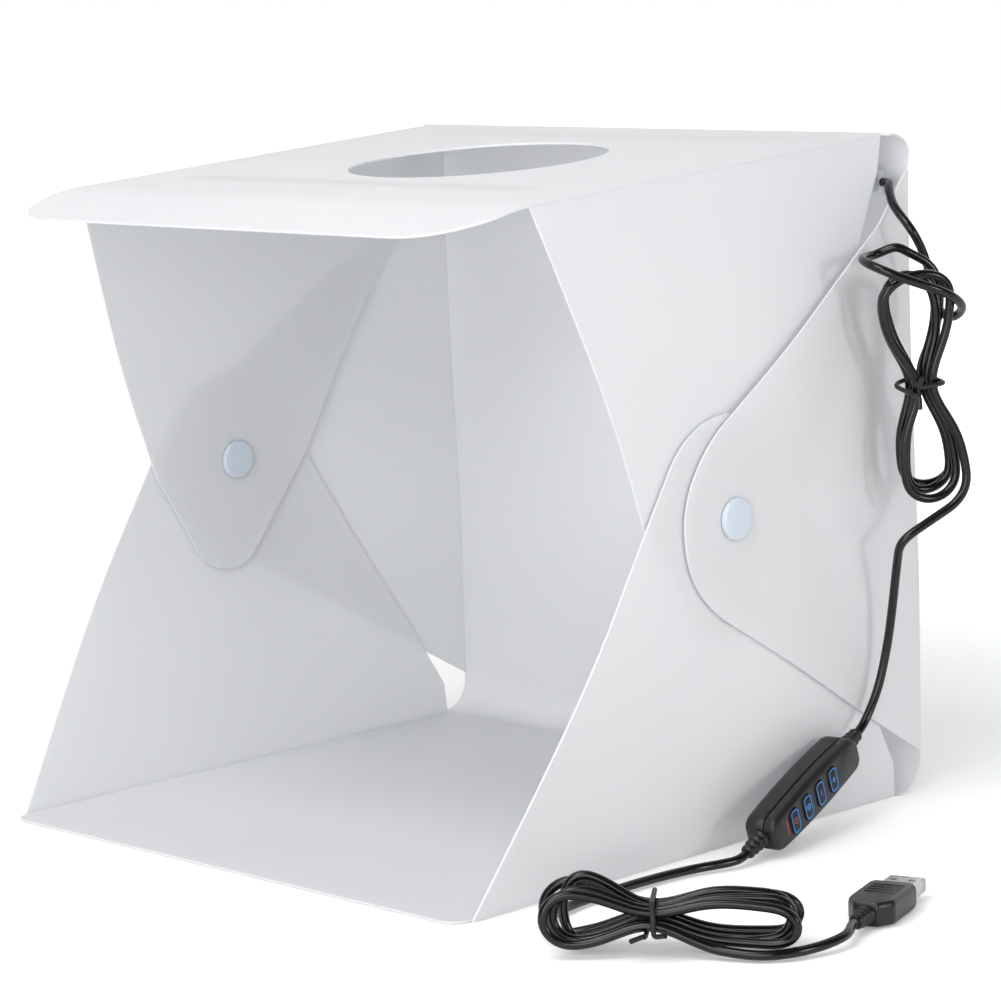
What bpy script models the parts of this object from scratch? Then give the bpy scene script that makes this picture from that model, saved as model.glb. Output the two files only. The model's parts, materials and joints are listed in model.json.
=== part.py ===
"""Folding light tent cube: a frosted sheet box with hinged wings, a lit top and an inline dimmer."""
import math

import bmesh
import bpy
import numpy as np
from mathutils import Matrix, Vector

# Sheet box, in metres: +X is the right side, -Y the open front, +Z up
BOX_WIDTH = 0.230
BOX_HEIGHT = 0.234
BOX_DEPTH = 0.2244
SHEET = 0.0008
LAYER_GAP = 0.0009
FIT_GAP = 0.0003
BEND_RADIUS = 0.0127
BEND_STEPS = 10
TOP_SLOPE = math.radians(4.0)
TOP_CREASE_DEPTH = 0.188
TOP_LIP_DEPTH = 0.0364
TOP_LIP_SLOPE = math.radians(13.5)
TOP_LIP_EASE = 0.012
TOP_LIP_CORNER = 0.026
FLOOR_LIP_DEPTH = 0.0068
FLOOR_CORNER = 0.007
HOLE_DIAMETER = 0.092
HOLE_DEPTH = 0.0984
HOLE_STEPS = 72
CORNER_STEPS = 6
BULGE = 0.011
BULGE_REACH_SHARE = 0.376
BULGE_GRID = 0.012
HINGE_CLEAR = 0.0018
CUTTER_OVERRUN = 0.004
MERGE_DISTANCE = 0.00001
FLAT_ANGLE = math.radians(0.5)
BEVEL_ANGLE = math.radians(60.0)

# Wing outlines: shares of the box depth and height, then the corner's radius
UPPER_WING_SHARES = ((0.668, 0.479), (0.526, 0.252), (0.339, 0.479))
UPPER_WING_RADII = (0.024, 0.016, 0.012)
UPPER_WING_HEEL_SHARES = (0.0758, 0.944)
LOWER_WING_SHARES = ((0.668, 0.504), (0.584, 0.628), (0.432, 0.641), (0.339, 0.4915))
LOWER_WING_RADII = (0.014, 0.012, 0.012, 0.010)
LOWER_WING_HEEL_SHARES = (0.0646, 0.0534)
BACK_WING_SHARES = ((0.101, 0.865), (0.5526, 0.598), (0.608, 0.5085), (0.593, 0.4145), (0.544, 0.359))
BACK_WING_RADII = (0.040, 0.013, 0.012, 0.012, 0.010)

# Round closures of the side walls
CLOSURE_SHARES = (0.494, 0.4863)
CAP_DIAMETER = 0.014
CAP_HEIGHT = 0.0019
CAP_EDGE = 0.0005
CAP_POCKET_DIAMETER = 0.0106
CAP_POCKET_DEPTH = 0.0013
MAGNET_DIAMETER = 0.010
MAGNET_HEIGHT = 0.001
CAP_STEPS = 40

# Light bars under the top sheet
BAR_INSET = 0.029
BAR_WIDTH = 0.010
BAR_FRONT_DEPTH = 0.158
BAR_REAR_DEPTH = 0.036
TAPE_WIDTH = 0.008
TAPE_THICKNESS = 0.0004
BOARD_THICKNESS = 0.0010
CHIP_LENGTH = 0.0035
CHIP_WIDTH = 0.0028
CHIP_HEIGHT = 0.0008
CHIP_COUNT = 18
CHIP_ROW_SHARE = 0.12
RESISTOR_LENGTH = 0.0020
RESISTOR_WIDTH = 0.00125
RESISTOR_HEIGHT = 0.0005
RESISTOR_COUNT = 6
RESISTOR_ROW_SHARE = 0.30
SOLDER_DEPTH = 0.0003
LINK_DIAMETER = 0.0016
LINK_SIDE_SHARE = 0.80
LINK_STEPS = 8

# Cord
CORD_DIAMETER = 0.0031
CORD_SPACING_SHARE = 2.4
WRAP_SPACING_SHARE = 2.0
FINE_STEPS = 40
GAP_STEPS = 6
CLIP_LENGTH = 0.011
CLIP_WIDTH = 0.0085
CLIP_HEIGHT = 0.0055
CLIP_EDGE = 0.0012
CLIP_SIDE = 0.0170
CLIP_FALL = 0.0178
LEAD_TURN_SHARES = (0.30, 0.72, 0.35)
LEAD_SPACING_SHARE = 1.5
LEAD_END_SHARES = (1.2, 0.20)

# Both hanks: turns drawn in at the waist, whose ends are rounder and not quite alike
WAIST_SHARE = 0.80
WAIST_REACH_SHARE = 0.34
FAN_SHARE = 0.35
END_SHARE = 0.24
END_HOLD = 6
LOOP_STEP = 0.0038
LOOP_POINTS = 24
SWELL_SHARE = 0.10
SHRINK_SHARE = 0.05
SWELL_TURN_SHARE = 0.83
SHRINK_TURN_SHARE = 0.59
UNEVEN_TURN_SHARE = 1.7
SWELL_START = math.radians(34.0)

# Upper hank, hanging beside the right wall near its rear corner
UPPER_OUT = 0.0235
UPPER_BACK = 0.0285
UPPER_RISE_SHARE = 0.643
UPPER_HALF_LENGTH = 0.0435
UPPER_HALF_WIDTH = 0.0118
UPPER_TURNS = 3.46
UPPER_START = math.radians(14.0)
UPPER_YAW = math.radians(61.0)
UPPER_LEAN = math.radians(9.5)
UPPER_TIE_SHARE = 0.0
UPPER_TAPER = -0.14
UPPER_UNEVEN_SHARE = 0.12

# Lower hank, lying on the table in front of the right wall
LOWER_OUT = 0.069
LOWER_FRONT = 0.209
LOWER_HALF_LENGTH = 0.0415
LOWER_HALF_WIDTH = 0.0090
LOWER_TURNS = 4.15
LOWER_START = math.radians(225.0)
LOWER_YAW = math.radians(38.0)
LOWER_TILT = math.radians(1.0)
LOWER_PITCH = math.radians(2.2)
LOWER_TIE_SHARE = -0.16
LOWER_TAPER = 0.20
LOWER_UNEVEN_SHARE = 0.16
GROUND_CLEAR = 0.0004
TIE_DIAMETER = 0.0016
TIE_CLEAR = 0.0010
TIE_CORNER_SHARE = 0.7
TIE_CORNER_STEPS = 5
TIE_TWIST_SHARE = 0.625
TIE_END_LENGTH = 0.011
TIE_END_RISE_SHARE = 0.6
TIE_END_SPREAD_SHARE = 0.3
TIE_END_SHARES = (0.0, 0.35, 0.7, 1.0)

# Dimmer on the cord, leaning at the foot of the right wall
DIMMER_LENGTH = 0.058
DIMMER_WIDTH = 0.0145
DIMMER_HEIGHT = 0.0125
DIMMER_CORNER = 0.0045
DIMMER_EDGE = 0.0011
DIMMER_WALL = 0.0012
DIMMER_SPLIT_SHARE = 0.62
DIMMER_OUT = 0.0145
DIMMER_FRONT = 0.083
DIMMER_YAW = math.radians(8.6)
DIMMER_FALL = math.radians(19.9)
PCB_THICKNESS = 0.0010
PCB_RISE_SHARE = 0.30
PCB_CLEAR = 0.0005
KEY_WIDTH = 0.0050
KEY_LENGTH = 0.0086
KEY_CORNER = 0.0018
KEY_PITCH = 0.0087
KEY_SHIFT = -0.0035
KEY_PROUD = 0.0006
KEY_FLANGE = 0.0006
KEY_FLANGE_HEIGHT = 0.0007
KEY_TRAVEL = 0.0004
SWITCH_SIZE = 0.0038
SWITCH_HEIGHT = 0.0022
PLUNGER_SIZE = 0.0020
INDICATOR_WIDTH = 0.0012
INDICATOR_LENGTH = 0.0062
INDICATOR_GAP = 0.0040
INDICATOR_CORNER_SHARE = 0.3
RELIEF_LENGTH = 0.0092
RELIEF_BASE_DIAMETER = 0.0066
RELIEF_TIP_DIAMETER = 0.0048
RELIEF_GROOVE = 0.0008
RELIEF_RIBS = 3
RELIEF_STEPS = 24

# Plug at the end of the cord
PLUG_LENGTH = 0.027
PLUG_WIDTH = 0.0155
PLUG_HEIGHT = 0.0080
PLUG_CORNER = 0.0040
PLUG_EDGE = 0.0012
PLUG_OUT = 0.0979
PLUG_FRONT = 0.1533
PLUG_YAW = math.radians(109.0)
SHELL_WIDTH = 0.0120
SHELL_HEIGHT = 0.0045
SHELL_LENGTH = 0.0120
SHELL_WALL = 0.0004
TONGUE_WIDTH = 0.0100
TONGUE_HEIGHT = 0.0018
TONGUE_LENGTH = 0.0108
CONTACT_WIDTH = 0.0010
CONTACT_LENGTH = 0.0070
CONTACT_HEIGHT = 0.0002
CONTACT_DEPTH = 0.0002
CONTACT_PITCH = 0.0023
CONTACT_COUNT = 4

# Free stretches: the share of the way between their ends, then the offset; wraps: a share of the half width
DROP_BENDS = (
    (-0.0042, -0.0092, -0.0010),
    (-0.0002, -0.0134, -0.0034),
    (0.0034, -0.0166, -0.0060),
    (0.0072, -0.0184, -0.0088),
)
WRAP_STEPS = (
    (0.87, -0.0168, 0.0058),
    (1.17, -0.0178, -0.0024),
    (1.29, -0.0173, -0.0104),
    (1.28, -0.0150, -0.0185),
    (1.30, -0.0113, -0.0239),
    (1.41, -0.0043, -0.0244),
    (1.42, 0.0041, -0.0202),
    (1.11, 0.0103, -0.0152),
    (0.52, 0.0135, -0.0101),
    (-0.48, 0.0123, -0.0037),
    (-1.09, 0.0092, 0.0006),
    (-1.27, 0.0017, 0.0023),
    (-1.04, -0.0066, 0.0018),
    (-0.49, -0.0120, 0.0007),
)
TO_DIMMER_BENDS = (
    (0.130, -0.0036, -0.0086, 0.0020),
    (0.234, -0.0056, -0.0042, 0.0024),
    (0.414, -0.0063, 0.0021, 0.0012),
    (0.591, -0.0056, 0.0061, 0.0000),
    (0.767, -0.0039, 0.0073, -0.0007),
    (0.878, -0.0026, 0.0060, -0.0008),
)
FROM_DIMMER_BENDS = (
    (0.079, -0.0028, -0.0005, -0.0014),
    (0.176, -0.0088, -0.0015, -0.0017),
    (0.334, -0.0136, -0.0023, -0.0015),
    (0.523, -0.0171, -0.0029, -0.0013),
    (0.714, -0.0190, -0.0032, -0.0011),
    (0.865, -0.0166, -0.0028, -0.0008),
    (0.962, -0.0109, -0.0019, -0.0007),
)
TO_PLUG_BENDS = (
    (0.247, 0.0087, -0.0044, -0.0030),
    (0.430, 0.0122, -0.0057, -0.0024),
    (0.655, 0.0116, -0.0049, -0.0015),
    (0.849, 0.0084, -0.0035, -0.0004),
)

HALF_WIDTH = BOX_WIDTH / 2
LAYER_PITCH = SHEET + LAYER_GAP
BACK_LAYER = HALF_WIDTH
LOWER_LAYER = HALF_WIDTH - LAYER_PITCH
UPPER_LAYER = HALF_WIDTH - 2 * LAYER_PITCH
TOP_HINGE_DEPTH = BEND_RADIUS * (1 + math.sin(TOP_SLOPE))
TOP_HINGE_HEIGHT = BOX_HEIGHT - BEND_RADIUS * (1 - math.cos(TOP_SLOPE))
BULGE_REACH = BULGE_REACH_SHARE * BOX_HEIGHT
CORD_RADIUS = CORD_DIAMETER / 2
BAR_LENGTH = BOX_WIDTH - 2 * BAR_INSET


def clear_scene():
    """Start from an empty file."""
    for item in list(bpy.data.objects):
        bpy.data.objects.remove(item, do_unlink=True)
    for group in (bpy.data.meshes, bpy.data.curves, bpy.data.materials, bpy.data.collections):
        for item in list(group):
            group.remove(item)


def collection(name, hidden=False):
    """A collection of that name; cutters stay out of the render."""
    group = bpy.data.collections.new(name)
    bpy.context.scene.collection.children.link(group)
    group.hide_render = hidden
    return group


def material(name, colour, roughness, metallic=0.0):
    """A plain surface of one colour."""
    mat = bpy.data.materials.new(name)
    mat.use_nodes = True
    node = mat.node_tree.nodes["Principled BSDF"]
    node.inputs["Base Color"].default_value = (*colour, 1.0)
    node.inputs["Roughness"].default_value = roughness
    node.inputs["Metallic"].default_value = metallic
    mat.diffuse_color = (*colour, 1.0)
    return mat


def add_object(name, data, mat, origin, group=None):
    """Link an object whose data is given in world metres and set its origin."""
    if isinstance(data, bpy.types.Mesh):
        data.transform(Matrix.Translation(-Vector(origin)))
    obj = bpy.data.objects.new(name, data)
    obj.location = origin
    (group or PARTS).objects.link(obj)
    if mat:
        data.materials.append(mat)
    return obj


def finish(obj, angle=math.radians(30.0)):
    """Shade smooth with sharp edges kept."""
    obj.data.shade_smooth()
    obj.data.set_sharp_from_angle(angle=angle)
    return obj


def rounded(points, radii, steps=CORNER_STEPS):
    """A flat outline with each corner replaced by an arc of its radius."""
    outline = []
    count = len(points)
    for index, (point, radius) in enumerate(zip(points, radii)):
        here = Vector(point)
        if not radius:
            outline.append(tuple(here))
            continue
        before = (Vector(points[index - 1]) - here)
        after = (Vector(points[(index + 1) % count]) - here)
        half = before.angle(after) / 2
        run = min(radius / math.tan(half), before.length / 2, after.length / 2)
        arc = run * math.tan(half)
        first = here + before.normalized() * run
        last = here + after.normalized() * run
        centre = here + (before.normalized() + after.normalized()).normalized() * (arc / math.sin(half))
        start = first - centre
        sweep = start.angle_signed(last - centre)
        for step in range(steps + 1):
            turn = Matrix.Rotation(-sweep * step / steps, 2)
            outline.append(tuple(centre + turn @ start))
    return outline


def oblong(length, width, radius, steps=CORNER_STEPS):
    """A rounded rectangle about the origin, anticlockwise."""
    half_x, half_y = length / 2, width / 2
    points = ((-half_x, -half_y), (half_x, -half_y), (half_x, half_y), (-half_x, half_y))
    return rounded(points, (radius,) * len(points), steps)


def lines(low, high, step):
    """Evenly spaced cuts inside a span, about one step apart."""
    count = max(2, math.ceil((high - low) / step))
    return [low + (high - low) * index / count for index in range(1, count)]


def sheet(name, outline, cuts, shape, mat, origin, reverse=False):
    """A thin panel: a flat outline cut along lines, laid on a surface and given its thickness."""
    mesh = bmesh.new()
    mesh.faces.new([mesh.verts.new((u, v, 0.0)) for u, v in outline])
    for axis, places in enumerate(cuts):
        normal = Vector((1.0, 0.0, 0.0)) if axis == 0 else Vector((0.0, 1.0, 0.0))
        for place in places:
            geometry = mesh.verts[:] + mesh.edges[:] + mesh.faces[:]
            bmesh.ops.bisect_plane(mesh, geom=geometry, plane_co=normal * place, plane_no=normal)
    for vert in mesh.verts:
        vert.co = Vector(shape(vert.co.x, vert.co.y))
    bmesh.ops.triangulate(mesh, faces=mesh.faces[:])
    if reverse:
        bmesh.ops.reverse_faces(mesh, faces=mesh.faces[:])
    data = bpy.data.meshes.new(name)
    mesh.to_mesh(data)
    mesh.free()
    obj = add_object(name, data, mat, origin)
    solid = obj.modifiers.new("thickness", "SOLIDIFY")
    solid.thickness = SHEET
    solid.offset = -1.0
    return finish(obj)


def prism(name, outline, low, high, matrix, mat, group=None, edge=0.0):
    """A straight-sided block on a flat outline, placed by a matrix, its rims eased by a bevel."""
    curve = bpy.data.curves.new(name + "_outline", "CURVE")
    curve.dimensions = "2D"
    curve.fill_mode = "BOTH"
    curve.extrude = (high - low) / 2
    spline = curve.splines.new("POLY")
    spline.points.add(len(outline) - 1)
    for target, point in zip(spline.points, outline):
        target.co = (*point, 0.0, 1.0)
    spline.use_cyclic_u = True
    flat = bpy.data.objects.new(name + "_outline", curve)
    bpy.context.scene.collection.objects.link(flat)
    bpy.context.view_layer.update()
    data = bpy.data.meshes.new_from_object(flat.evaluated_get(bpy.context.evaluated_depsgraph_get()))
    bpy.data.objects.remove(flat, do_unlink=True)
    mesh = bmesh.new()
    mesh.from_mesh(data)
    bmesh.ops.remove_doubles(mesh, verts=mesh.verts[:], dist=MERGE_DISTANCE)
    bmesh.ops.dissolve_limit(mesh, angle_limit=FLAT_ANGLE, verts=mesh.verts[:], edges=mesh.edges[:])
    bmesh.ops.translate(mesh, verts=mesh.verts[:], vec=(0.0, 0.0, (low + high) / 2))
    bmesh.ops.recalc_face_normals(mesh, faces=mesh.faces[:])
    mesh.to_mesh(data)
    mesh.free()
    data.name = name
    obj = bpy.data.objects.new(name, data)
    obj.matrix_world = matrix
    (group or PARTS).objects.link(obj)
    if group is CUTTERS:
        obj.display_type = "WIRE"
        obj.hide_render = True
    if mat:
        data.materials.append(mat)
    if edge:
        bevel = obj.modifiers.new("eased rims", "BEVEL")
        bevel.width = edge
        bevel.segments = 2
        bevel.limit_method = "ANGLE"
        bevel.angle_limit = BEVEL_ANGLE
    return finish(obj)


def cut(target, cutter, operation="DIFFERENCE"):
    """Take one solid out of another, or join them into one body."""
    tool = target.modifiers.new(cutter.name, "BOOLEAN")
    tool.operation = operation
    tool.solver = "EXACT"
    tool.object = cutter


def turned(name, profile, matrix, mat, steps):
    """A body turned about its own Z axis from a profile of radius and height, top first."""
    data = bpy.data.meshes.new(name)
    verts = [(radius, 0.0, height) for radius, height in profile]
    data.from_pydata(verts, [(index, index + 1) for index in range(len(verts) - 1)], [])
    obj = bpy.data.objects.new(name, data)
    obj.matrix_world = matrix
    PARTS.objects.link(obj)
    data.materials.append(mat)
    screw = obj.modifiers.new("turned", "SCREW")
    screw.steps = steps
    screw.render_steps = steps
    screw.use_merge_vertices = True
    screw.merge_threshold = MERGE_DISTANCE
    screw.use_smooth_shade = True
    return obj


def tube(name, points, diameter, mat, origin, resolution=2, closed=False):
    """A round cord along a line of points, with flat ends."""
    data = bpy.data.curves.new(name, "CURVE")
    data.dimensions = "3D"
    data.bevel_depth = diameter / 2
    data.bevel_resolution = resolution
    data.use_fill_caps = True
    spline = data.splines.new("POLY")
    spline.points.add(len(points) - 1)
    for target, point in zip(spline.points, points):
        target.co = (*(Vector(point) - Vector(origin)), 1.0)
    spline.use_cyclic_u = closed
    obj = bpy.data.objects.new(name, data)
    obj.location = origin
    PARTS.objects.link(obj)
    data.materials.append(mat)
    return obj


def smooth_line(points, spacing):
    """Points along a smooth curve through the given ones, whose first and last runs stay straight."""
    known = [np.array(point, float) for point in points]
    fine = []
    for a, b, c, d in zip(known, known[1:], known[2:], known[3:]):
        for step in np.linspace(0.0, 1.0, FINE_STEPS, endpoint=False):
            square = (2 * a - 5 * b + 4 * c - d) * step ** 2
            cube = (3 * b - a - 3 * c + d) * step ** 3
            fine.append((2 * b + (c - a) * step + square + cube) / 2)
    fine.append(known[-2])
    fine = np.array(fine)
    run = np.concatenate([[0.0], np.cumsum(np.linalg.norm(np.diff(fine, axis=0), axis=1))])
    places = np.linspace(0.0, run[-1], max(3, round(run[-1] / spacing)) + 1)
    inner = [tuple(np.interp(place, run, fine[:, axis]) for axis in range(3)) for place in places]
    return [tuple(known[0]), *inner, tuple(known[-1])]


def rise(share):
    """How far the wall has bulged at a share of the reach from a crease: 0 at the crease, 1 beyond the reach."""
    share = min(max(share, 0.0), 1.0)
    return share * (4 - share ** 3) / 3


def top_height(depth):
    """Height of the top sheet's upper face at a depth from the rear."""
    height = TOP_HINGE_HEIGHT - (depth - TOP_HINGE_DEPTH) * math.tan(TOP_SLOPE)
    past = depth - TOP_CREASE_DEPTH
    if past > 0:
        eased = past - TOP_LIP_EASE / 2 if past > TOP_LIP_EASE else past ** 2 / (2 * TOP_LIP_EASE)
        height -= eased * (math.tan(TOP_LIP_SLOPE) - math.tan(TOP_SLOPE))
    return height


def wall_offset(y, z):
    """Outward bulge of the side wall at a point of it."""
    crease = TOP_HINGE_HEIGHT - (-y - TOP_HINGE_DEPTH) * math.tan(TOP_SLOPE)
    shares = (-y / BULGE_REACH, z / BULGE_REACH, (crease - z) / BULGE_REACH)
    return BULGE * rise(shares[0]) * rise(shares[1]) * rise(shares[2])


def wing(name, side, layer, points, radii, origin):
    """A wing of a side wall: its outline in depth and height, laid on the bulged wall."""
    outline = rounded([(-depth, height) for depth, height in points], radii)
    depths = [point[0] for point in outline]
    heights = [point[1] for point in outline]
    cuts = (lines(min(depths), max(depths), BULGE_GRID), lines(min(heights), max(heights), BULGE_GRID))

    def shape(y, z):
        return side * (layer + wall_offset(y, z)), y, z

    area = sum(a[0] * b[1] - b[0] * a[1] for a, b in zip(outline, outline[1:] + outline[:1]))
    return sheet(name, outline, cuts, shape, MAT["sheet"], origin, reverse=(area * side < 0))


def bar_matrix(depth, drop, side=0.0):
    """Frame of a piece under the top sheet: its Z is the sheet's normal, its origin below the sheet."""
    slope = Matrix.Rotation(TOP_SLOPE, 4, "X")
    below = SHEET / math.cos(TOP_SLOPE) + drop / math.cos(TOP_SLOPE)
    return Matrix.Translation((side, -depth, top_height(depth) - below)) @ slope


def blocks(name, places, size, low, matrix):
    """Equal small blocks in a row, to be joined to the board that carries them."""
    mesh = bmesh.new()
    for x, y in places:
        made = bmesh.ops.create_cube(mesh, size=1.0)["verts"]
        bmesh.ops.scale(mesh, verts=made, vec=size)
        bmesh.ops.translate(mesh, verts=made, vec=(x, y, low + size[2] / 2))
    data = bpy.data.meshes.new(name)
    mesh.to_mesh(data)
    mesh.free()
    obj = bpy.data.objects.new(name, data)
    obj.matrix_world = matrix
    obj.display_type = "WIRE"
    obj.hide_render = True
    CUTTERS.objects.link(obj)
    return obj


def hank_line(centre, along, across, through, half_length, half_width, turns, start, waist, taper, uneven):
    """One unbroken bound hank: turns drawn in at the waist, each a step further through and not quite alike."""
    points = []
    count = round(turns * LOOP_POINTS)
    for index in range(count + 1):
        angle = start + 2 * math.pi * turns * index / count
        place = math.cos(angle)
        narrow = 1 - taper * place
        past = max(0.0, 1 + (abs(place) - 1) / (END_SHARE * narrow))
        side = math.copysign(math.sqrt(1 - past ** 2), math.sin(angle))
        swell = 1 + SWELL_SHARE * math.sin(SWELL_TURN_SHARE * angle + SWELL_START)
        shrink = SHRINK_SHARE * (1 + math.sin(SHRINK_TURN_SHARE * angle))
        shrink += uneven * (1 + math.sin(UNEVEN_TURN_SHARE * angle)) / 2 * place ** 2
        held = 1 - shrink * (1 - abs(2 * index / count - 1) ** END_HOLD)
        draw = 1 - WAIST_SHARE * math.exp(-((place - waist) / WAIST_REACH_SHARE) ** 2)
        depth = LOOP_STEP * turns * (index / count - 0.5) * (1 + FAN_SHARE * place ** 2)
        width = half_width * swell * draw * side * narrow
        points.append(centre + along * (half_length * place * held) + across * width + through * depth)
    for end, inner in ((0, 1), (-1, -2)):
        out = (points[end] - points[inner]).normalized() * CORD_DIAMETER
        points.insert(0 if end == 0 else len(points), points[end] + out)
    return points


def least_gap(points):
    """Smallest space between two stretches of one cord."""
    line = np.array([tuple(point) for point in points])
    steps = np.linspace(0.0, 1.0, GAP_STEPS, endpoint=False)[:, None]
    fine = np.concatenate([a + (b - a) * steps for a, b in zip(line, line[1:])])
    run = np.concatenate([[0.0], np.cumsum(np.linalg.norm(np.diff(fine, axis=0), axis=1))])
    apart = np.linalg.norm(fine[:, None] - fine[None], axis=2)
    apart[np.abs(run[:, None] - run[None]) < 4 * CORD_DIAMETER] = math.inf
    return apart.min() - CORD_DIAMETER


def tie(name, centre, across, through, half_across, half_through, along, origin):
    """One wire twisted round a hank's waist, its two ends standing off in a V."""
    reach_a = half_across + CORD_RADIUS + TIE_CLEAR + TIE_DIAMETER / 2
    reach_b = half_through + CORD_RADIUS + TIE_CLEAR + TIE_DIAMETER / 2
    outline = oblong(2 * reach_a, 2 * reach_b, TIE_CORNER_SHARE * min(reach_a, reach_b), TIE_CORNER_STEPS)
    corner = round(len(outline) * TIE_TWIST_SHARE)
    ring = outline[corner:] + outline[:corner]
    step = 2 * TIE_DIAMETER / len(ring)
    path = [centre + across * a + through * b + along * (step * k - TIE_DIAMETER) for k, (a, b) in enumerate(ring)]
    root = path[0].lerp(path[-1], 0.5) + through * TIE_DIAMETER
    ends = []
    for side in (-1.0, 1.0):
        lean = (through * TIE_END_RISE_SHARE + along * side + across * side * TIE_END_SPREAD_SHARE).normalized()
        first = root + along * side * TIE_DIAMETER
        ends.append([first + lean * TIE_END_LENGTH * share for share in TIE_END_SHARES])
    path = ends[0][::-1] + path[1:-1] + ends[1]
    return tube(name, path, TIE_DIAMETER, MAT["tie"], origin, 1)


def between(first, lead_in, last, lead_out, bends):
    """A free stretch from one face to another, leaving and arriving straight."""
    a, b = Vector(first), Vector(last)
    points = [a, a + Vector(lead_in).normalized() * CORD_DIAMETER]
    for share, *offset in bends:
        points.append(a.lerp(b, share) + Vector(offset))
    points += [b + Vector(lead_out).normalized() * CORD_DIAMETER, b]
    return smooth_line(points, CORD_DIAMETER * CORD_SPACING_SHARE)


def build_box(hinges):
    """The one-piece back with its two bends, the top, the floor and the six wings."""
    arc = BEND_RADIUS * math.pi / 2
    top_arc = BEND_RADIUS * (math.pi / 2 + TOP_SLOPE)
    straight = BOX_HEIGHT - 2 * BEND_RADIUS
    total = arc + straight + top_arc

    def back_shape(along, x):
        if along < arc:
            turn = along / BEND_RADIUS
            return x, -BEND_RADIUS + BEND_RADIUS * math.sin(turn), BEND_RADIUS - BEND_RADIUS * math.cos(turn)
        if along < arc + straight:
            return x, 0.0, BEND_RADIUS + along - arc
        turn = (along - arc - straight) / BEND_RADIUS
        return x, -BEND_RADIUS + BEND_RADIUS * math.cos(turn), BOX_HEIGHT - BEND_RADIUS + BEND_RADIUS * math.sin(turn)

    outline = [(0.0, -HALF_WIDTH), (total, -HALF_WIDTH), (total, HALF_WIDTH), (0.0, HALF_WIDTH)]
    bends = lines(0.0, arc, arc / BEND_STEPS) + [arc, arc + straight]
    bends += lines(arc + straight, total, top_arc / BEND_STEPS)
    sheet("back_panel", outline, (bends, ()), back_shape, MAT["sheet"], hinges["back"])

    half_top = UPPER_LAYER
    start = TOP_HINGE_DEPTH + FIT_GAP
    front = TOP_CREASE_DEPTH + TOP_LIP_DEPTH
    corners = [(-half_top, -start), (-half_top, -TOP_CREASE_DEPTH), (-half_top, -front), (half_top, -front)]
    corners += [(half_top, -TOP_CREASE_DEPTH), (half_top, -start)]
    radii = (0.0, 0.0, TOP_LIP_CORNER, TOP_LIP_CORNER, 0.0, 0.0)
    cuts = [-TOP_CREASE_DEPTH] + lines(-TOP_CREASE_DEPTH - TOP_LIP_EASE, -TOP_CREASE_DEPTH, TOP_LIP_EASE / 4)
    cuts += [-TOP_CREASE_DEPTH - TOP_LIP_EASE]
    top = sheet("top_panel", rounded(corners, radii, 2 * CORNER_STEPS), ((), cuts),
                lambda x, y: (x, y, top_height(-y)), MAT["sheet"], hinges["top"])
    hole = [(HOLE_DIAMETER / 2 * math.cos(2 * math.pi * k / HOLE_STEPS),
             HOLE_DIAMETER / 2 * math.sin(2 * math.pi * k / HOLE_STEPS)) for k in range(HOLE_STEPS)]
    cutter = prism("hole_cutter", hole, -CUTTER_OVERRUN, CUTTER_OVERRUN,
                   bar_matrix(HOLE_DEPTH, 0.0), None, CUTTERS)
    cut(top, cutter)

    half_floor = LOWER_LAYER - SHEET - FIT_GAP
    front = BOX_DEPTH + FLOOR_LIP_DEPTH
    start = BEND_RADIUS + FIT_GAP
    corners = [(-half_floor, -start), (-half_floor, -front), (half_floor, -front), (half_floor, -start)]
    sheet("floor_panel", rounded(corners, (0.0, FLOOR_CORNER, FLOOR_CORNER, 0.0)), ((), ()),
          lambda x, y: (x, y, SHEET), MAT["sheet"], hinges["floor"])

    foot = SHEET + FIT_GAP
    hang = SHEET / math.cos(TOP_SLOPE) + FIT_GAP
    heel = TOP_HINGE_DEPTH + 2 * FIT_GAP
    for side, word in ((-1.0, "left"), (1.0, "right")):
        rear_depth, rear_height = UPPER_WING_HEEL_SHARES
        points = [(TOP_CREASE_DEPTH, top_height(TOP_CREASE_DEPTH) - hang)]
        points += [(a * BOX_DEPTH, b * BOX_HEIGHT) for a, b in UPPER_WING_SHARES]
        points += [(rear_depth * BOX_DEPTH, rear_height * BOX_HEIGHT), (heel, top_height(heel) - hang)]
        wing("upper_wing_" + word, side, UPPER_LAYER, points, (0.0, *UPPER_WING_RADII, 0.0, 0.0),
             hinges["upper_wing_" + word])
        rear_depth, rear_height = LOWER_WING_HEEL_SHARES
        points = [(BOX_DEPTH, foot)]
        points += [(a * BOX_DEPTH, b * BOX_HEIGHT) for a, b in LOWER_WING_SHARES]
        points += [(rear_depth * BOX_DEPTH, rear_height * BOX_HEIGHT), (BEND_RADIUS + 2 * FIT_GAP, foot)]
        wing("lower_wing_" + word, side, LOWER_LAYER, points, (0.0, *LOWER_WING_RADII, 0.0, 0.0),
             hinges["lower_wing_" + word])
        root = SHEET + FIT_GAP
        points = [(root, BOX_HEIGHT - BEND_RADIUS - FIT_GAP)]
        points += [(a * BOX_DEPTH, b * BOX_HEIGHT) for a, b in BACK_WING_SHARES]
        points += [(root, BEND_RADIUS + HINGE_CLEAR)]
        wing("back_wing_" + word, side, BACK_LAYER, points, (0.0, *BACK_WING_RADII, 0.0),
             hinges["back_wing_" + word])


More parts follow.
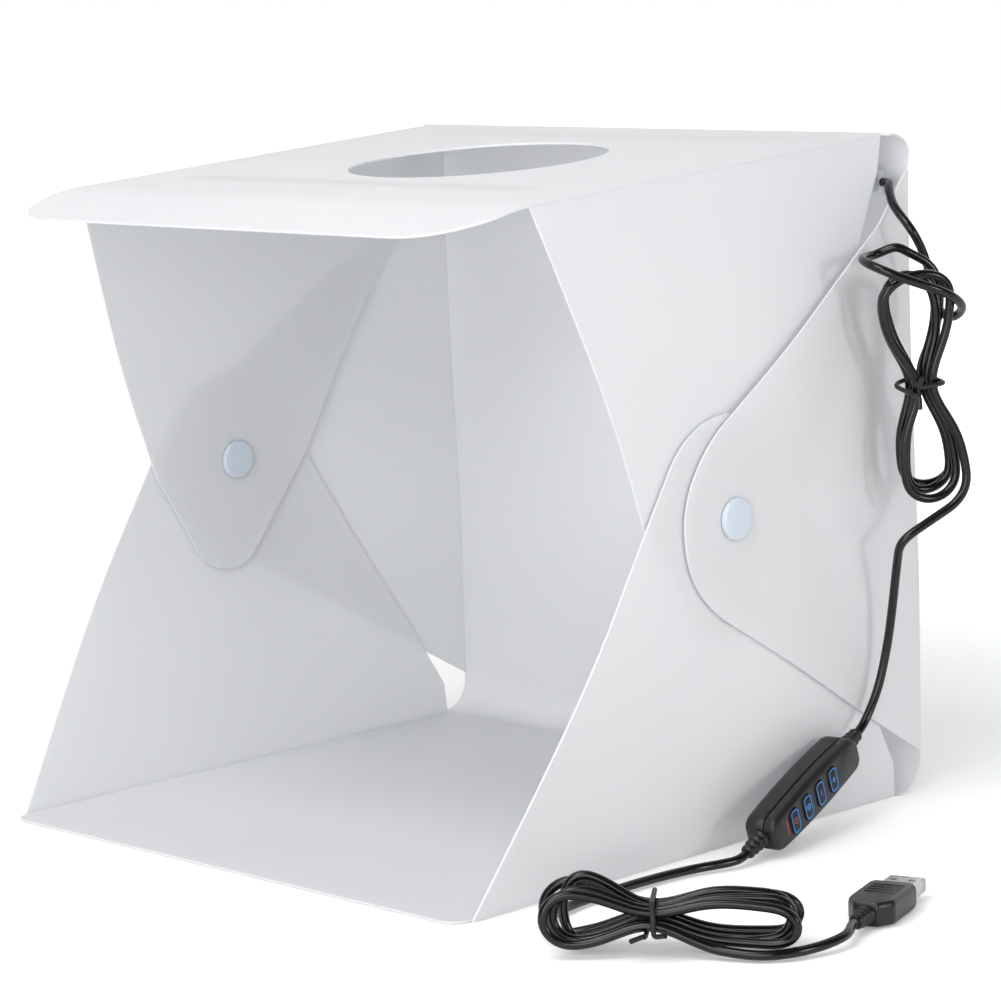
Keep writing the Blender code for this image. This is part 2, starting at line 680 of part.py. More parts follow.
def build_closures():
    """Round caps with their magnets, outside the back wings and inside the upper wings."""
    depth = CLOSURE_SHARES[0] * BOX_DEPTH
    height = CLOSURE_SHARES[1] * BOX_HEIGHT
    bulge = wall_offset(-depth, height)
    radius = CAP_DIAMETER / 2
    pocket = CAP_POCKET_DIAMETER / 2
    profile = [(0.0, CAP_HEIGHT), (radius - CAP_EDGE, CAP_HEIGHT), (radius, CAP_HEIGHT - CAP_EDGE), (radius, 0.0)]
    profile += [(pocket, 0.0), (pocket, CAP_POCKET_DEPTH), (0.0, CAP_POCKET_DEPTH)]
    magnet = MAGNET_DIAMETER / 2
    disc = [(0.0, MAGNET_HEIGHT), (magnet, MAGNET_HEIGHT), (magnet, 0.0), (0.0, 0.0)]
    for side, word in ((-1.0, "left"), (1.0, "right")):
        outward = Matrix.Rotation(side * math.pi / 2, 4, "Y")
        inward = Matrix.Rotation(-side * math.pi / 2, 4, "Y")
        outer = side * (BACK_LAYER + bulge + FIT_GAP)
        inner = side * (UPPER_LAYER + bulge - SHEET - FIT_GAP)
        for place, turn, where in ((outer, outward, "outer_"), (inner, inward, "inner_")):
            base = Matrix.Translation((place, -depth, height)) @ turn
            turned("cap_" + where + word, profile, base, MAT["cap"], CAP_STEPS)
            turned("magnet_" + where + word, disc, base, MAT["magnet"], CAP_STEPS)


def build_lights(hinges):
    """Two light bars stuck under the top sheet, joined by a link wire."""
    below_tape = FIT_GAP
    below_board = below_tape + TAPE_THICKNESS + FIT_GAP
    for depth, word in ((BAR_FRONT_DEPTH, "front"), (BAR_REAR_DEPTH, "rear")):
        tape = oblong(BAR_LENGTH - BAR_WIDTH, TAPE_WIDTH, FIT_GAP, 1)
        prism("led_tape_" + word, tape, -TAPE_THICKNESS, 0.0, bar_matrix(depth, below_tape), MAT["tape"])
        frame = bar_matrix(depth, below_board)
        board = prism("led_board_" + word, oblong(BAR_LENGTH, BAR_WIDTH, FIT_GAP, 1), -BOARD_THICKNESS, 0.0,
                      frame, MAT["board"])
        pitch = BAR_LENGTH / CHIP_COUNT
        row = -CHIP_ROW_SHARE * BAR_WIDTH
        places = [((k + 0.5) * pitch - BAR_LENGTH / 2, row) for k in range(CHIP_COUNT)]
        size = (CHIP_LENGTH, CHIP_WIDTH, CHIP_HEIGHT + SOLDER_DEPTH)
        cut(board, blocks("chips_" + word, places, size, -BOARD_THICKNESS - CHIP_HEIGHT, frame), "UNION")
        pitch = BAR_LENGTH / RESISTOR_COUNT
        row = RESISTOR_ROW_SHARE * BAR_WIDTH
        places = [((k + 0.5) * pitch - BAR_LENGTH / 2, row) for k in range(RESISTOR_COUNT)]
        size = (RESISTOR_LENGTH, RESISTOR_WIDTH, RESISTOR_HEIGHT + SOLDER_DEPTH)
        cut(board, blocks("resistors_" + word, places, size, -BOARD_THICKNESS - RESISTOR_HEIGHT, frame), "UNION")
    side = -LINK_SIDE_SHARE * BAR_LENGTH / 2
    ends = (BAR_FRONT_DEPTH - BAR_WIDTH / 2 - FIT_GAP, BAR_REAR_DEPTH + BAR_WIDTH / 2 + FIT_GAP)
    drop = SHEET + FIT_GAP + LINK_DIAMETER / 2
    run = [ends[0] + (ends[1] - ends[0]) * k / LINK_STEPS for k in range(LINK_STEPS + 1)]
    path = [(side, -depth, top_height(depth) - drop / math.cos(TOP_SLOPE)) for depth in run]
    tube("board_link_wire", path, LINK_DIAMETER, MAT["link"], hinges["top"])


def build_cord(hinges):
    """The cord from the light bars to the plug: free stretches, two bound hanks, dimmer and plug between."""
    top, ride = hinges["top"], hinges["back_wing_right"]
    up = Vector((0.0, 0.0, 1.0))
    clip_y = -(SHEET + FIT_GAP + CLIP_HEIGHT / 2)
    clip_z = BOX_HEIGHT - CLIP_FALL
    clip = Matrix.Translation((HALF_WIDTH - CLIP_SIDE, clip_y, clip_z)) @ Matrix.Rotation(math.pi / 2, 4, "X")
    prism("cord_clip", oblong(CLIP_LENGTH, CLIP_WIDTH, CLIP_EDGE), -CLIP_HEIGHT / 2, CLIP_HEIGHT / 2, clip, MAT["clip"])
    left = Vector((HALF_WIDTH - CLIP_SIDE - CLIP_LENGTH / 2 - FIT_GAP, clip_y, clip_z))
    right = Vector((HALF_WIDTH - CLIP_SIDE + CLIP_LENGTH / 2 + FIT_GAP, clip_y, clip_z))
    bar_end = BAR_LENGTH / 2 + FIT_GAP
    depth = BAR_REAR_DEPTH
    under = SHEET + FIT_GAP + CORD_RADIUS
    start = Vector((bar_end, -depth, top_height(depth) - under / math.cos(TOP_SLOPE)))
    early, late, fall = (start.lerp(left, share) for share in LEAD_TURN_SHARES)
    back, lift = (CORD_DIAMETER * share for share in LEAD_END_SHARES)
    bends = [start, start + Vector((CORD_DIAMETER, 0.0, 0.0)), Vector((early.x + CORD_DIAMETER, early.y, start.z))]
    bends += [Vector((early.x + CORD_DIAMETER, late.y, fall.z)), left + Vector((-back, 0.0, lift)), left]
    tube("lead_inner", smooth_line(bends, CORD_DIAMETER * LEAD_SPACING_SHARE), CORD_DIAMETER, MAT["cord"], top)

    centre = Vector((HALF_WIDTH + UPPER_OUT, -UPPER_BACK, UPPER_RISE_SHARE * BOX_HEIGHT))
    lean = Matrix.Rotation(UPPER_LEAN, 3, "X")
    along = lean @ up
    across = lean @ Vector((math.cos(UPPER_YAW), math.sin(UPPER_YAW), 0.0))
    through = across.cross(along)
    hank = hank_line(centre, along, across, through, UPPER_HALF_LENGTH, UPPER_HALF_WIDTH, UPPER_TURNS, UPPER_START,
                     UPPER_TIE_SHARE, UPPER_TAPER, UPPER_UNEVEN_SHARE)
    tube("cord_hank_upper", hank, CORD_DIAMETER, MAT["cord"], ride, 1)
    print("upper hank least gap mm", round(1000 * least_gap(hank), 2))
    first = (hank[0] - hank[1]).normalized()
    last = (hank[-1] - hank[-2]).normalized()
    crown = centre + along * UPPER_HALF_LENGTH
    drop = [right, right + Vector((CORD_DIAMETER, 0.0, 0.0))]
    drop += [Vector((HALF_WIDTH, 0.0, clip_z)) + Vector(step) for step in DROP_BENDS]
    drop += [crown + across * (UPPER_HALF_WIDTH * a) + through * b + along * c for a, b, c in WRAP_STEPS]
    drop += [hank[0] + first * (CORD_DIAMETER + FIT_GAP), hank[0] + first * FIT_GAP]
    drop = smooth_line(drop, CORD_DIAMETER * WRAP_SPACING_SHARE)
    tube("cord_drop", drop, CORD_DIAMETER, MAT["cord"], ride)
    print("cord drop least gap mm", round(1000 * least_gap(drop), 2))
    half_through = LOOP_STEP * UPPER_TURNS / 2
    half_across = UPPER_HALF_WIDTH * (1 - WAIST_SHARE) * (1 + SWELL_SHARE)
    tie("hank_tie_upper", centre, across, through, half_across, half_through, along, ride)

    dimmer = dimmer_frame()
    relief = DIMMER_LENGTH / 2 + FIT_GAP + RELIEF_LENGTH + FIT_GAP
    axis = (dimmer.to_3x3() @ Vector((1.0, 0.0, 0.0))).normalized()
    high = dimmer @ Vector((relief, 0.0, DIMMER_HEIGHT / 2))
    low = dimmer @ Vector((-relief, 0.0, DIMMER_HEIGHT / 2))
    path = between(hank[-1] + last * FIT_GAP, last, high, axis, TO_DIMMER_BENDS)
    tube("cord_to_dimmer", path, CORD_DIAMETER, MAT["cord"], ride)

    lie = Matrix.Rotation(LOWER_YAW, 3, "Z") @ Matrix.Rotation(LOWER_PITCH, 3, "Y")
    along = lie @ Vector((1.0, 0.0, 0.0))
    across = lie @ Vector((0.0, math.sin(LOWER_TILT), math.cos(LOWER_TILT)))
    through = across.cross(along) * -1
    centre = Vector((HALF_WIDTH + LOWER_OUT, -LOWER_FRONT, 0.0))
    hank = hank_line(centre, along, across, through, LOWER_HALF_LENGTH, LOWER_HALF_WIDTH, LOWER_TURNS, LOWER_START,
                     LOWER_TIE_SHARE, LOWER_TAPER, LOWER_UNEVEN_SHARE)
    half_through = LOOP_STEP * LOWER_TURNS / 2
    low_point = min(point.z for point in hank) - CORD_RADIUS
    lift = up * (GROUND_CLEAR - low_point)
    hank = [point + lift for point in hank]
    centre = centre + lift
    tube("cord_hank_lower", hank, CORD_DIAMETER, MAT["cord"], ride, 1)
    print("lower hank least gap mm", round(1000 * least_gap(hank), 2))
    place = centre + along * (LOWER_TIE_SHARE * LOWER_HALF_LENGTH)
    narrow = 1 - LOWER_TAPER * LOWER_TIE_SHARE
    half_across = LOWER_HALF_WIDTH * narrow * (1 - WAIST_SHARE) * (1 + SWELL_SHARE)
    tie("hank_tie_lower", place, across, through, half_across, half_through, along, ride)
    first = (hank[0] - hank[1]).normalized()
    last = (hank[-1] - hank[-2]).normalized()
    path = between(low, -axis, hank[0] + first * FIT_GAP, first, FROM_DIMMER_BENDS)
    tube("cord_from_dimmer", path, CORD_DIAMETER, MAT["cord"], ride)
    plug = plug_frame()
    tail = plug @ Vector((-RELIEF_LENGTH - 2 * FIT_GAP, 0.0, 0.0))
    away = (plug.to_3x3() @ Vector((-1.0, 0.0, 0.0))).normalized()
    path = between(hank[-1] + last * FIT_GAP, last, tail, away, TO_PLUG_BENDS)
    tube("cord_to_plug", path, CORD_DIAMETER, MAT["cord"], ride)


def dimmer_frame():
    """Frame of the dimmer: X to its upper end, Z out of its key face, origin at the middle of its back."""
    down = Vector((math.sin(DIMMER_YAW) * math.cos(DIMMER_FALL), -math.cos(DIMMER_YAW) * math.cos(DIMMER_FALL),
                   -math.sin(DIMMER_FALL)))
    x_axis = -down
    y_axis = (Vector((0.0, 0.0, 1.0)) - x_axis * x_axis.z).normalized()
    z_axis = x_axis.cross(y_axis)
    reach = DIMMER_LENGTH / 2 * abs(x_axis.z) + DIMMER_WIDTH / 2 * abs(y_axis.z)
    middle = Vector((HALF_WIDTH + DIMMER_OUT, -DIMMER_FRONT, reach + GROUND_CLEAR))
    middle -= z_axis * (DIMMER_HEIGHT / 2)
    turn = Matrix((x_axis, y_axis, z_axis)).transposed().to_4x4()
    return Matrix.Translation(middle) @ turn


def relief_profile(length, base, tip):
    """Ribbed strain relief, narrow end on top."""
    profile = [(0.0, length), (tip / 2, length)]
    pitch = length / (2 * RELIEF_RIBS + 1)
    for rib in range(2 * RELIEF_RIBS):
        height = length - pitch * (rib + 1)
        wide = tip / 2 + (base - tip) / 2 * (rib + 1) / (2 * RELIEF_RIBS + 1)
        inner = wide - RELIEF_GROOVE
        pair = (wide, inner) if rib % 2 == 0 else (inner, wide)
        profile += [(pair[0], height), (pair[1], height)]
    profile += [(base / 2, 0.0), (0.0, 0.0)]
    return profile


def build_dimmer():
    """Two-shell case with its board, switches, four keys and a strain relief at each end."""
    frame = dimmer_frame()
    split = DIMMER_HEIGHT * DIMMER_SPLIT_SHARE
    outer = oblong(DIMMER_LENGTH, DIMMER_WIDTH, DIMMER_CORNER)
    inner = oblong(DIMMER_LENGTH - 2 * DIMMER_WALL, DIMMER_WIDTH - 2 * DIMMER_WALL, DIMMER_CORNER - DIMMER_WALL)
    trim = oblong(DIMMER_LENGTH + 2 * CUTTER_OVERRUN, DIMMER_WIDTH + 2 * CUTTER_OVERRUN, CUTTER_OVERRUN)
    above = DIMMER_HEIGHT + CUTTER_OVERRUN
    roof = DIMMER_HEIGHT - DIMMER_WALL
    tub = prism("dimmer_case_bottom", outer, 0.0, DIMMER_HEIGHT, frame, MAT["case"], edge=DIMMER_EDGE)
    cut(tub, prism("tub_trim", trim, split, above, frame, None, CUTTERS))
    cut(tub, prism("tub_cutter", inner, DIMMER_WALL, above, frame, None, CUTTERS))
    lid = prism("dimmer_case_top", outer, 0.0, DIMMER_HEIGHT, frame, MAT["case"], edge=DIMMER_EDGE)
    cut(lid, prism("lid_trim", trim, -CUTTER_OVERRUN, split + FIT_GAP, frame, None, CUTTERS))
    cut(lid, prism("lid_cutter", inner, -CUTTER_OVERRUN, roof, frame, None, CUTTERS))
    keys = ("button_brighter", "button_dimmer", "button_tone", "button_power")
    places = [KEY_SHIFT + ((len(keys) - 1) / 2 - k) * KEY_PITCH for k in range(len(keys))]
    window = oblong(KEY_WIDTH + 2 * FIT_GAP, KEY_LENGTH + 2 * FIT_GAP, KEY_CORNER)
    cap = oblong(KEY_WIDTH, KEY_LENGTH, KEY_CORNER)
    flange = oblong(KEY_WIDTH + 2 * KEY_FLANGE, KEY_LENGTH + 2 * KEY_FLANGE, KEY_CORNER)
    flange_top = roof - FIT_GAP
    flange_low = flange_top - KEY_FLANGE_HEIGHT
    pcb_low = DIMMER_HEIGHT * PCB_RISE_SHARE
    pcb_top = pcb_low + PCB_THICKNESS
    for name, place in zip(keys[::-1], places[::-1]):
        spot = frame @ Matrix.Translation((place, 0.0, 0.0))
        cut(lid, prism(name + "_window", window, roof - CUTTER_OVERRUN, above, spot, None, CUTTERS))
        key = prism(name, cap, flange_low, DIMMER_HEIGHT + KEY_PROUD, spot, MAT["key"])
        brim = prism(name + "_flange", flange, flange_low, flange_top, spot, None, CUTTERS)
        cut(key, brim, "UNION")
    corner = INDICATOR_WIDTH * INDICATOR_CORNER_SHARE
    bar = oblong(INDICATOR_WIDTH, INDICATOR_LENGTH, corner)
    hole = oblong(INDICATOR_WIDTH + 2 * FIT_GAP, INDICATOR_LENGTH + 2 * FIT_GAP, corner)
    spot = frame @ Matrix.Translation((places[-1] - KEY_WIDTH / 2 - INDICATOR_GAP / 2, 0.0, 0.0))
    cut(lid, prism("indicator_window", hole, roof - CUTTER_OVERRUN, above, spot, None, CUTTERS))
    prism("dimmer_indicator", bar, pcb_top + FIT_GAP, DIMMER_HEIGHT, spot, MAT["indicator"])
    inset = 2 * (DIMMER_WALL + PCB_CLEAR)
    board = oblong(DIMMER_LENGTH - inset, DIMMER_WIDTH - inset, DIMMER_CORNER - DIMMER_WALL)
    pcb = prism("dimmer_board", board, pcb_low, pcb_top, frame, MAT["pcb"])
    rows = [(place, 0.0) for place in places]
    size = (SWITCH_SIZE, SWITCH_SIZE, SWITCH_HEIGHT + SOLDER_DEPTH)
    cut(pcb, blocks("switch_bodies", rows, size, pcb_top - SOLDER_DEPTH, frame), "UNION")
    tall = flange_low - KEY_TRAVEL - FIT_GAP - pcb_top
    size = (PLUNGER_SIZE, PLUNGER_SIZE, tall + SOLDER_DEPTH)
    cut(pcb, blocks("switch_plungers", rows, size, pcb_top - SOLDER_DEPTH, frame), "UNION")
    profile = relief_profile(RELIEF_LENGTH, RELIEF_BASE_DIAMETER, RELIEF_TIP_DIAMETER)
    for sign, word in ((1.0, "upper"), (-1.0, "lower")):
        end = frame @ Matrix.Translation((sign * (DIMMER_LENGTH / 2 + FIT_GAP), 0.0, DIMMER_HEIGHT / 2))
        turn = Matrix.Rotation(sign * math.pi / 2, 4, "Y")
        turned("relief_" + word, profile, end @ turn, MAT["relief"], RELIEF_STEPS)


def plug_frame():
    """Frame of the plug: X out of its metal mouth, Z up, origin at the middle of its rear face."""
    centre = (HALF_WIDTH + PLUG_OUT, -PLUG_FRONT, PLUG_HEIGHT / 2 + GROUND_CLEAR)
    return Matrix.Translation(centre) @ Matrix.Rotation(PLUG_YAW, 4, "Z")


def build_plug():
    """Moulded plug with a hollow metal shell and its tongue, which carries the contacts."""
    frame = plug_frame()
    side = frame @ Matrix.Rotation(math.pi / 2, 4, "Y")
    body = frame @ Matrix.Translation((PLUG_LENGTH / 2, 0.0, 0.0))
    prism("plug_overmold", oblong(PLUG_LENGTH, PLUG_WIDTH, PLUG_CORNER), -PLUG_HEIGHT / 2, PLUG_HEIGHT / 2, body,
          MAT["case"], edge=PLUG_EDGE)
    profile = relief_profile(RELIEF_LENGTH, RELIEF_BASE_DIAMETER, RELIEF_TIP_DIAMETER)
    rear = frame @ Matrix.Translation((-FIT_GAP, 0.0, 0.0)) @ Matrix.Rotation(-math.pi / 2, 4, "Y")
    turned("plug_relief", profile, rear, MAT["relief"], RELIEF_STEPS)
    near = PLUG_LENGTH + FIT_GAP
    outer = oblong(SHELL_HEIGHT, SHELL_WIDTH, SHELL_WALL)
    inner = oblong(SHELL_HEIGHT - 2 * SHELL_WALL, SHELL_WIDTH - 2 * SHELL_WALL, SHELL_WALL / 2)
    shell = prism("plug_shell", outer, near, near + SHELL_LENGTH, side, MAT["shell"])
    cut(shell, prism("shell_cutter", inner, near - CUTTER_OVERRUN, near + SHELL_LENGTH + CUTTER_OVERRUN, side,
                     None, CUTTERS))
    shift = SHELL_HEIGHT / 2 - SHELL_WALL - FIT_GAP - TONGUE_HEIGHT / 2
    block = oblong(TONGUE_HEIGHT, TONGUE_WIDTH, SHELL_WALL / 2)
    tongue = prism("plug_tongue", block, near, near + TONGUE_LENGTH, side @ Matrix.Translation((-shift, 0.0, 0.0)),
                   MAT["tongue"])
    middle = (CONTACT_COUNT - 1) / 2
    rows = [(near + TONGUE_LENGTH / 2, (k - middle) * CONTACT_PITCH) for k in range(CONTACT_COUNT)]
    size = (CONTACT_LENGTH, CONTACT_WIDTH, CONTACT_HEIGHT + CONTACT_DEPTH)
    cut(tongue, blocks("contacts", rows, size, shift - TONGUE_HEIGHT / 2 - CONTACT_HEIGHT, frame), "UNION")


def carry(carrier, *starts):
    """Parent pieces to the one that carries them, where they stand: those whose names start so."""
    for piece in PARTS.objects:
        if piece.name.startswith(starts) and piece is not carrier:
            piece.parent = carrier
            piece.matrix_parent_inverse = carrier.matrix_world.inverted()


def assemble():
    """The back carries all the rest, and an empty sets the origin to the middle of the footprint."""
    bpy.context.view_layer.update()
    part = PARTS.objects
    for word in ("left", "right"):
        carry(part["upper_wing_" + word], "cap_inner_" + word, "magnet_inner_" + word)
        carry(part["back_wing_" + word], "cap_outer_" + word, "magnet_outer_" + word)
    carry(part["dimmer_case_bottom"], "dimmer_case_top", "dimmer_board", "dimmer_indicator", "button_")
    carry(part["plug_overmold"], "plug_shell", "plug_tongue", "plug_relief")
    carry(part["back_wing_right"], "cord_", "hank_tie_", "relief_", "dimmer_case_bottom", "plug_overmold")
    carry(part["top_panel"], "led_", "board_link_wire", "lead_inner", "upper_wing_")
    carry(part["floor_panel"], "lower_wing_")
    carry(part["back_panel"], "top_panel", "floor_panel", "back_wing_", "cord_clip")
    origin = bpy.data.objects.new("footprint_middle", None)
    origin.location = (0.0, (BOX_DEPTH + FLOOR_LIP_DEPTH) / 2, 0.0)
    PARTS.objects.link(origin)
    for piece in list(PARTS.objects) + list(CUTTERS.objects):
        if piece.parent is None and piece is not origin:
            piece.parent = origin
    bpy.context.view_layer.update()
    return origin.location


def hinge_points():
    """Where each moving group turns: its origin in world metres."""
    hang = SHEET / math.cos(TOP_SLOPE) + FIT_GAP
    points = {
        "back": (0.0, 0.0, 0.0),
        "top": (0.0, -TOP_HINGE_DEPTH, TOP_HINGE_HEIGHT),
        "floor": (0.0, -BEND_RADIUS, 0.0),
    }
    for side, word in ((-1.0, "left"), (1.0, "right")):
        points["upper_wing_" + word] = (side * (UPPER_LAYER - SHEET), -TOP_HINGE_DEPTH, TOP_HINGE_HEIGHT - hang)
        points["lower_wing_" + word] = (side * LOWER_LAYER, -BEND_RADIUS, SHEET + FIT_GAP)
        points["back_wing_" + word] = (side * BACK_LAYER, -SHEET - FIT_GAP, BEND_RADIUS + HINGE_CLEAR)
    return points


clear_scene()
PARTS = collection("light_tent_cube")
CUTTERS = collection("cutters", hidden=True)
MAT = {
    "sheet": material("frosted_sheet", (0.80, 0.81, 0.84), 0.55),
    "cap": material("cap_plastic", (0.66, 0.74, 0.80), 0.35),
    "magnet": material("magnet_plate", (0.55, 0.55, 0.57), 0.30, 1.0),
    "tape": material("foam_tape", (0.85, 0.85, 0.82), 0.80),
    "board": material("light_board", (0.82, 0.83, 0.82), 0.45),
    "link": material("link_wire", (0.75, 0.75, 0.75), 0.45),
    "cord": material("cord_jacket", (0.006, 0.006, 0.008), 0.25),
    "clip": material("clip_plastic", (0.72, 0.74, 0.76), 0.40),
    "tie": material("tie_plastic", (0.008, 0.008, 0.010), 0.45),
    "case": material("case_plastic", (0.022, 0.022, 0.027), 0.38),
    "key": material("key_rubber", (0.020, 0.020, 0.024), 0.50),
    "indicator": material("indicator_lens", (0.20, 0.02, 0.015), 0.30),
    "pcb": material("circuit_board", (0.01, 0.10, 0.03), 0.40),
    "relief": material("relief_rubber", (0.010, 0.010, 0.012), 0.45),
    "shell": material("plated_shell", (0.70, 0.70, 0.70), 0.25, 1.0),
    "tongue": material("tongue_plastic", (0.80, 0.80, 0.78), 0.45),
}
HINGES = hinge_points()
build_box(HINGES)
build_closures()
build_lights(HINGES)
build_cord(HINGES)
build_dimmer()
build_plug()
SHIFT = assemble()
print("pieces", sum(piece.type != "EMPTY" for piece in PARTS.objects))
for word, point in HINGES.items():
    print(word, [round(value, 5) for value in Vector(point) + SHIFT])
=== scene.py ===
"""Folding light tent cube: the looks of every piece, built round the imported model."""
import json
import math

import bmesh
import bpy
import numpy as np
from mathutils import Matrix, Vector

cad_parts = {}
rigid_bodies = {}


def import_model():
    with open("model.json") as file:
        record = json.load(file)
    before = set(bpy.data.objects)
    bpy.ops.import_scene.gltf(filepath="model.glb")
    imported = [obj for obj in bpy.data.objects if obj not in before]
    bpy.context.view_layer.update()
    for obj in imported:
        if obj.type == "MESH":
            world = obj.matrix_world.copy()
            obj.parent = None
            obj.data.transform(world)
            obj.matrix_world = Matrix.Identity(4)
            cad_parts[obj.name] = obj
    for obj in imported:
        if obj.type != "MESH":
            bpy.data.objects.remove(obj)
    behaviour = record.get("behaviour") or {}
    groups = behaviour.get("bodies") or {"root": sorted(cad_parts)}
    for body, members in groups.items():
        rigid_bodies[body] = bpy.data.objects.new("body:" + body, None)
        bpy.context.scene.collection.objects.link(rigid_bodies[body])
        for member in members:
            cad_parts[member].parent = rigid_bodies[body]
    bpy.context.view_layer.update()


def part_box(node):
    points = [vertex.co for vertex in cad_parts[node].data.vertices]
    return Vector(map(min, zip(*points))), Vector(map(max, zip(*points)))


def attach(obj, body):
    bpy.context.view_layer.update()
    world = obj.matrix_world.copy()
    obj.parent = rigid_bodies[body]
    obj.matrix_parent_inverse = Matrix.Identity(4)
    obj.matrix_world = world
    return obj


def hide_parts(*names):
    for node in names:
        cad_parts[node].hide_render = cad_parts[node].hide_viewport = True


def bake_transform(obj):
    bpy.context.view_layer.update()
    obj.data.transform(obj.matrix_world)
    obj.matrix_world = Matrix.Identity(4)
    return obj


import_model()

# The camera: a long lens from the front right, a little above the box and turned slightly.
# Its place, direction and focal length were fitted to the creases and corners of the photograph.
CAMERA_PLACE = Vector((0.88412, -0.86456, 0.30168))
CAMERA_TURN = math.radians(44.9)
CAMERA_PITCH = math.radians(-8.86)
CAMERA_ROLL = math.radians(-1.75)


def linked(name, data):
    """A new object in the scene, for a camera, a lamp, a curve or a mesh."""
    made = bpy.data.objects.new(name, data)
    bpy.context.scene.collection.objects.link(made)
    return made


lens = bpy.data.cameras.new("camera")
lens.lens = 127.96
lens.sensor_width = 36.0
lens.clip_start = 0.01
camera = linked("camera", lens)
ahead = Vector((-math.sin(CAMERA_TURN), math.cos(CAMERA_TURN), math.tan(CAMERA_PITCH))).normalized()
level = ahead.cross(Vector((0.0, 0.0, 1.0))).normalized()
raised = level.cross(ahead)
tilt = Matrix.Rotation(CAMERA_ROLL, 3, -ahead)
camera.matrix_world = Matrix.Translation(CAMERA_PLACE) @ Matrix(
    (tilt @ level, tilt @ raised, -ahead)).transposed().to_4x4()
bpy.context.scene.camera = camera
bpy.context.scene.view_settings.view_transform = "Standard"


# The studio: a white sweep that stays white to the camera and keeps the soft shadow,
# a large lamp overhead, a small one from the right of the box and a broad one from the open front.
def linear(colour):
    """An sRGB hex colour as linear red, green, blue and alpha."""
    parts = [int(colour[place:place + 2], 16) / 255 for place in (1, 3, 5)]
    return (*[part / 12.92 if part <= 0.04045 else ((part + 0.055) / 1.055) ** 2.4 for part in parts], 1.0)


def add(tree, kind, links=(), **settings):
    """Add a shader node, with settings for its properties or sockets and links from other nodes."""
    made = tree.nodes.new(kind)
    for word, value in settings.items():
        if hasattr(made, word):
            setattr(made, word, value)
        else:
            made.inputs[word.replace("_", " ")].default_value = value
    for socket, source in links:
        tree.links.new(source, made.inputs[socket])
    return made


world = bpy.data.worlds.new("studio")
bpy.context.scene.world = world
world.use_nodes = True
tree = world.node_tree
tree.nodes.clear()
path = add(tree, "ShaderNodeLightPath")
mirrored = add(tree, "ShaderNodeMath", [(0, path.outputs["Is Glossy Ray"]),
                                        (1, path.outputs["Is Transmission Ray"])], operation="MAXIMUM")
# gloss mirrors a dim room that turns white towards the backdrop behind the box
direction = add(tree, "ShaderNodeTexCoord")
toward_backdrop = add(tree, "ShaderNodeVectorMath", [(0, direction.outputs["Generated"])],
                      operation="DOT_PRODUCT")
toward_backdrop.inputs[1].default_value = (-0.70, 0.71, 0.0)
share = add(tree, "ShaderNodeMapRange", [("Value", toward_backdrop.outputs["Value"])],
            From_Min=0.10, From_Max=0.60, To_Min=0.10, To_Max=1.0)
WHITE = (1.0, 1.0, 1.0, 1.0)
soft = add(tree, "ShaderNodeBackground", Color=(0.99, 0.993, 1.0, 1.0), Strength=0.57)
room = add(tree, "ShaderNodeBackground", [("Strength", share.outputs[0])], Color=WHITE)
white = add(tree, "ShaderNodeBackground", Color=WHITE, Strength=1.0)
both = add(tree, "ShaderNodeMixShader", [(0, mirrored.outputs[0]), (1, soft.outputs[0]),
                                         (2, room.outputs[0])])
both = add(tree, "ShaderNodeMixShader", [(0, path.outputs["Is Camera Ray"]), (1, both.outputs[0]),
                                         (2, white.outputs[0])])
add(tree, "ShaderNodeOutputWorld", [("Surface", both.outputs[0])])

SWEEP_REACH = 4.0
SWEEP_HEIGHT = -0.0002
sweep_mesh = bpy.data.meshes.new("studio_floor")
sweep_mesh.from_pydata([(x * SWEEP_REACH, y * SWEEP_REACH, SWEEP_HEIGHT)
                        for x, y in ((-1, -1), (1, -1), (1, 1), (-1, 1))], [], [(0, 1, 2, 3)])
sweep = linked("studio_floor", sweep_mesh)
# matt paper; what the camera sees of it is lifted to white further out
paper = bpy.data.materials.new("white studio paper")
paper.use_nodes = True
tree = paper.node_tree
tree.nodes.clear()
path = add(tree, "ShaderNodeLightPath")
matt = add(tree, "ShaderNodeBsdfDiffuse", Color=(0.90, 0.90, 0.90, 1.0))
place = add(tree, "ShaderNodeTexCoord")
away = add(tree, "ShaderNodeVectorMath", [(0, place.outputs["Object"])], operation="LENGTH")
lift = add(tree, "ShaderNodeMapRange", [("Value", away.outputs["Value"])], From_Min=0.3, From_Max=1.0,
           To_Min=0.22, To_Max=0.9)
lift = add(tree, "ShaderNodeMath", [(0, lift.outputs[0]), (1, path.outputs["Is Camera Ray"])],
           operation="MULTIPLY")
glow = add(tree, "ShaderNodeEmission", [("Strength", lift.outputs[0])], Color=WHITE)
both = add(tree, "ShaderNodeAddShader", [(0, matt.outputs[0]), (1, glow.outputs[0])])
add(tree, "ShaderNodeOutputMaterial", [("Surface", both.outputs[0])])
sweep_mesh.materials.append(paper)

# each lamp's name, place, width and watts; all look at the middle of the box
LAMPS = (
    ("overhead", (0.1, -0.95, 1.45), 1.0, 14.0),
    ("right", (1.75, 0.2, 0.40), 0.3, 4.2),
    ("front", (0.95, -1.75, 0.42), 1.5, 21.0),
)
LAMP_AIM = Vector((0.0, 0.0, 0.1))
for word, place, width, power in LAMPS:
    lamp = bpy.data.lights.new(word, "AREA")
    lamp.energy = power
    lamp.size = width
    stand = linked(word, lamp)
    stand.location = place
    stand.rotation_euler = (LAMP_AIM - Vector(place)).to_track_quat("-Z", "Y").to_euler()


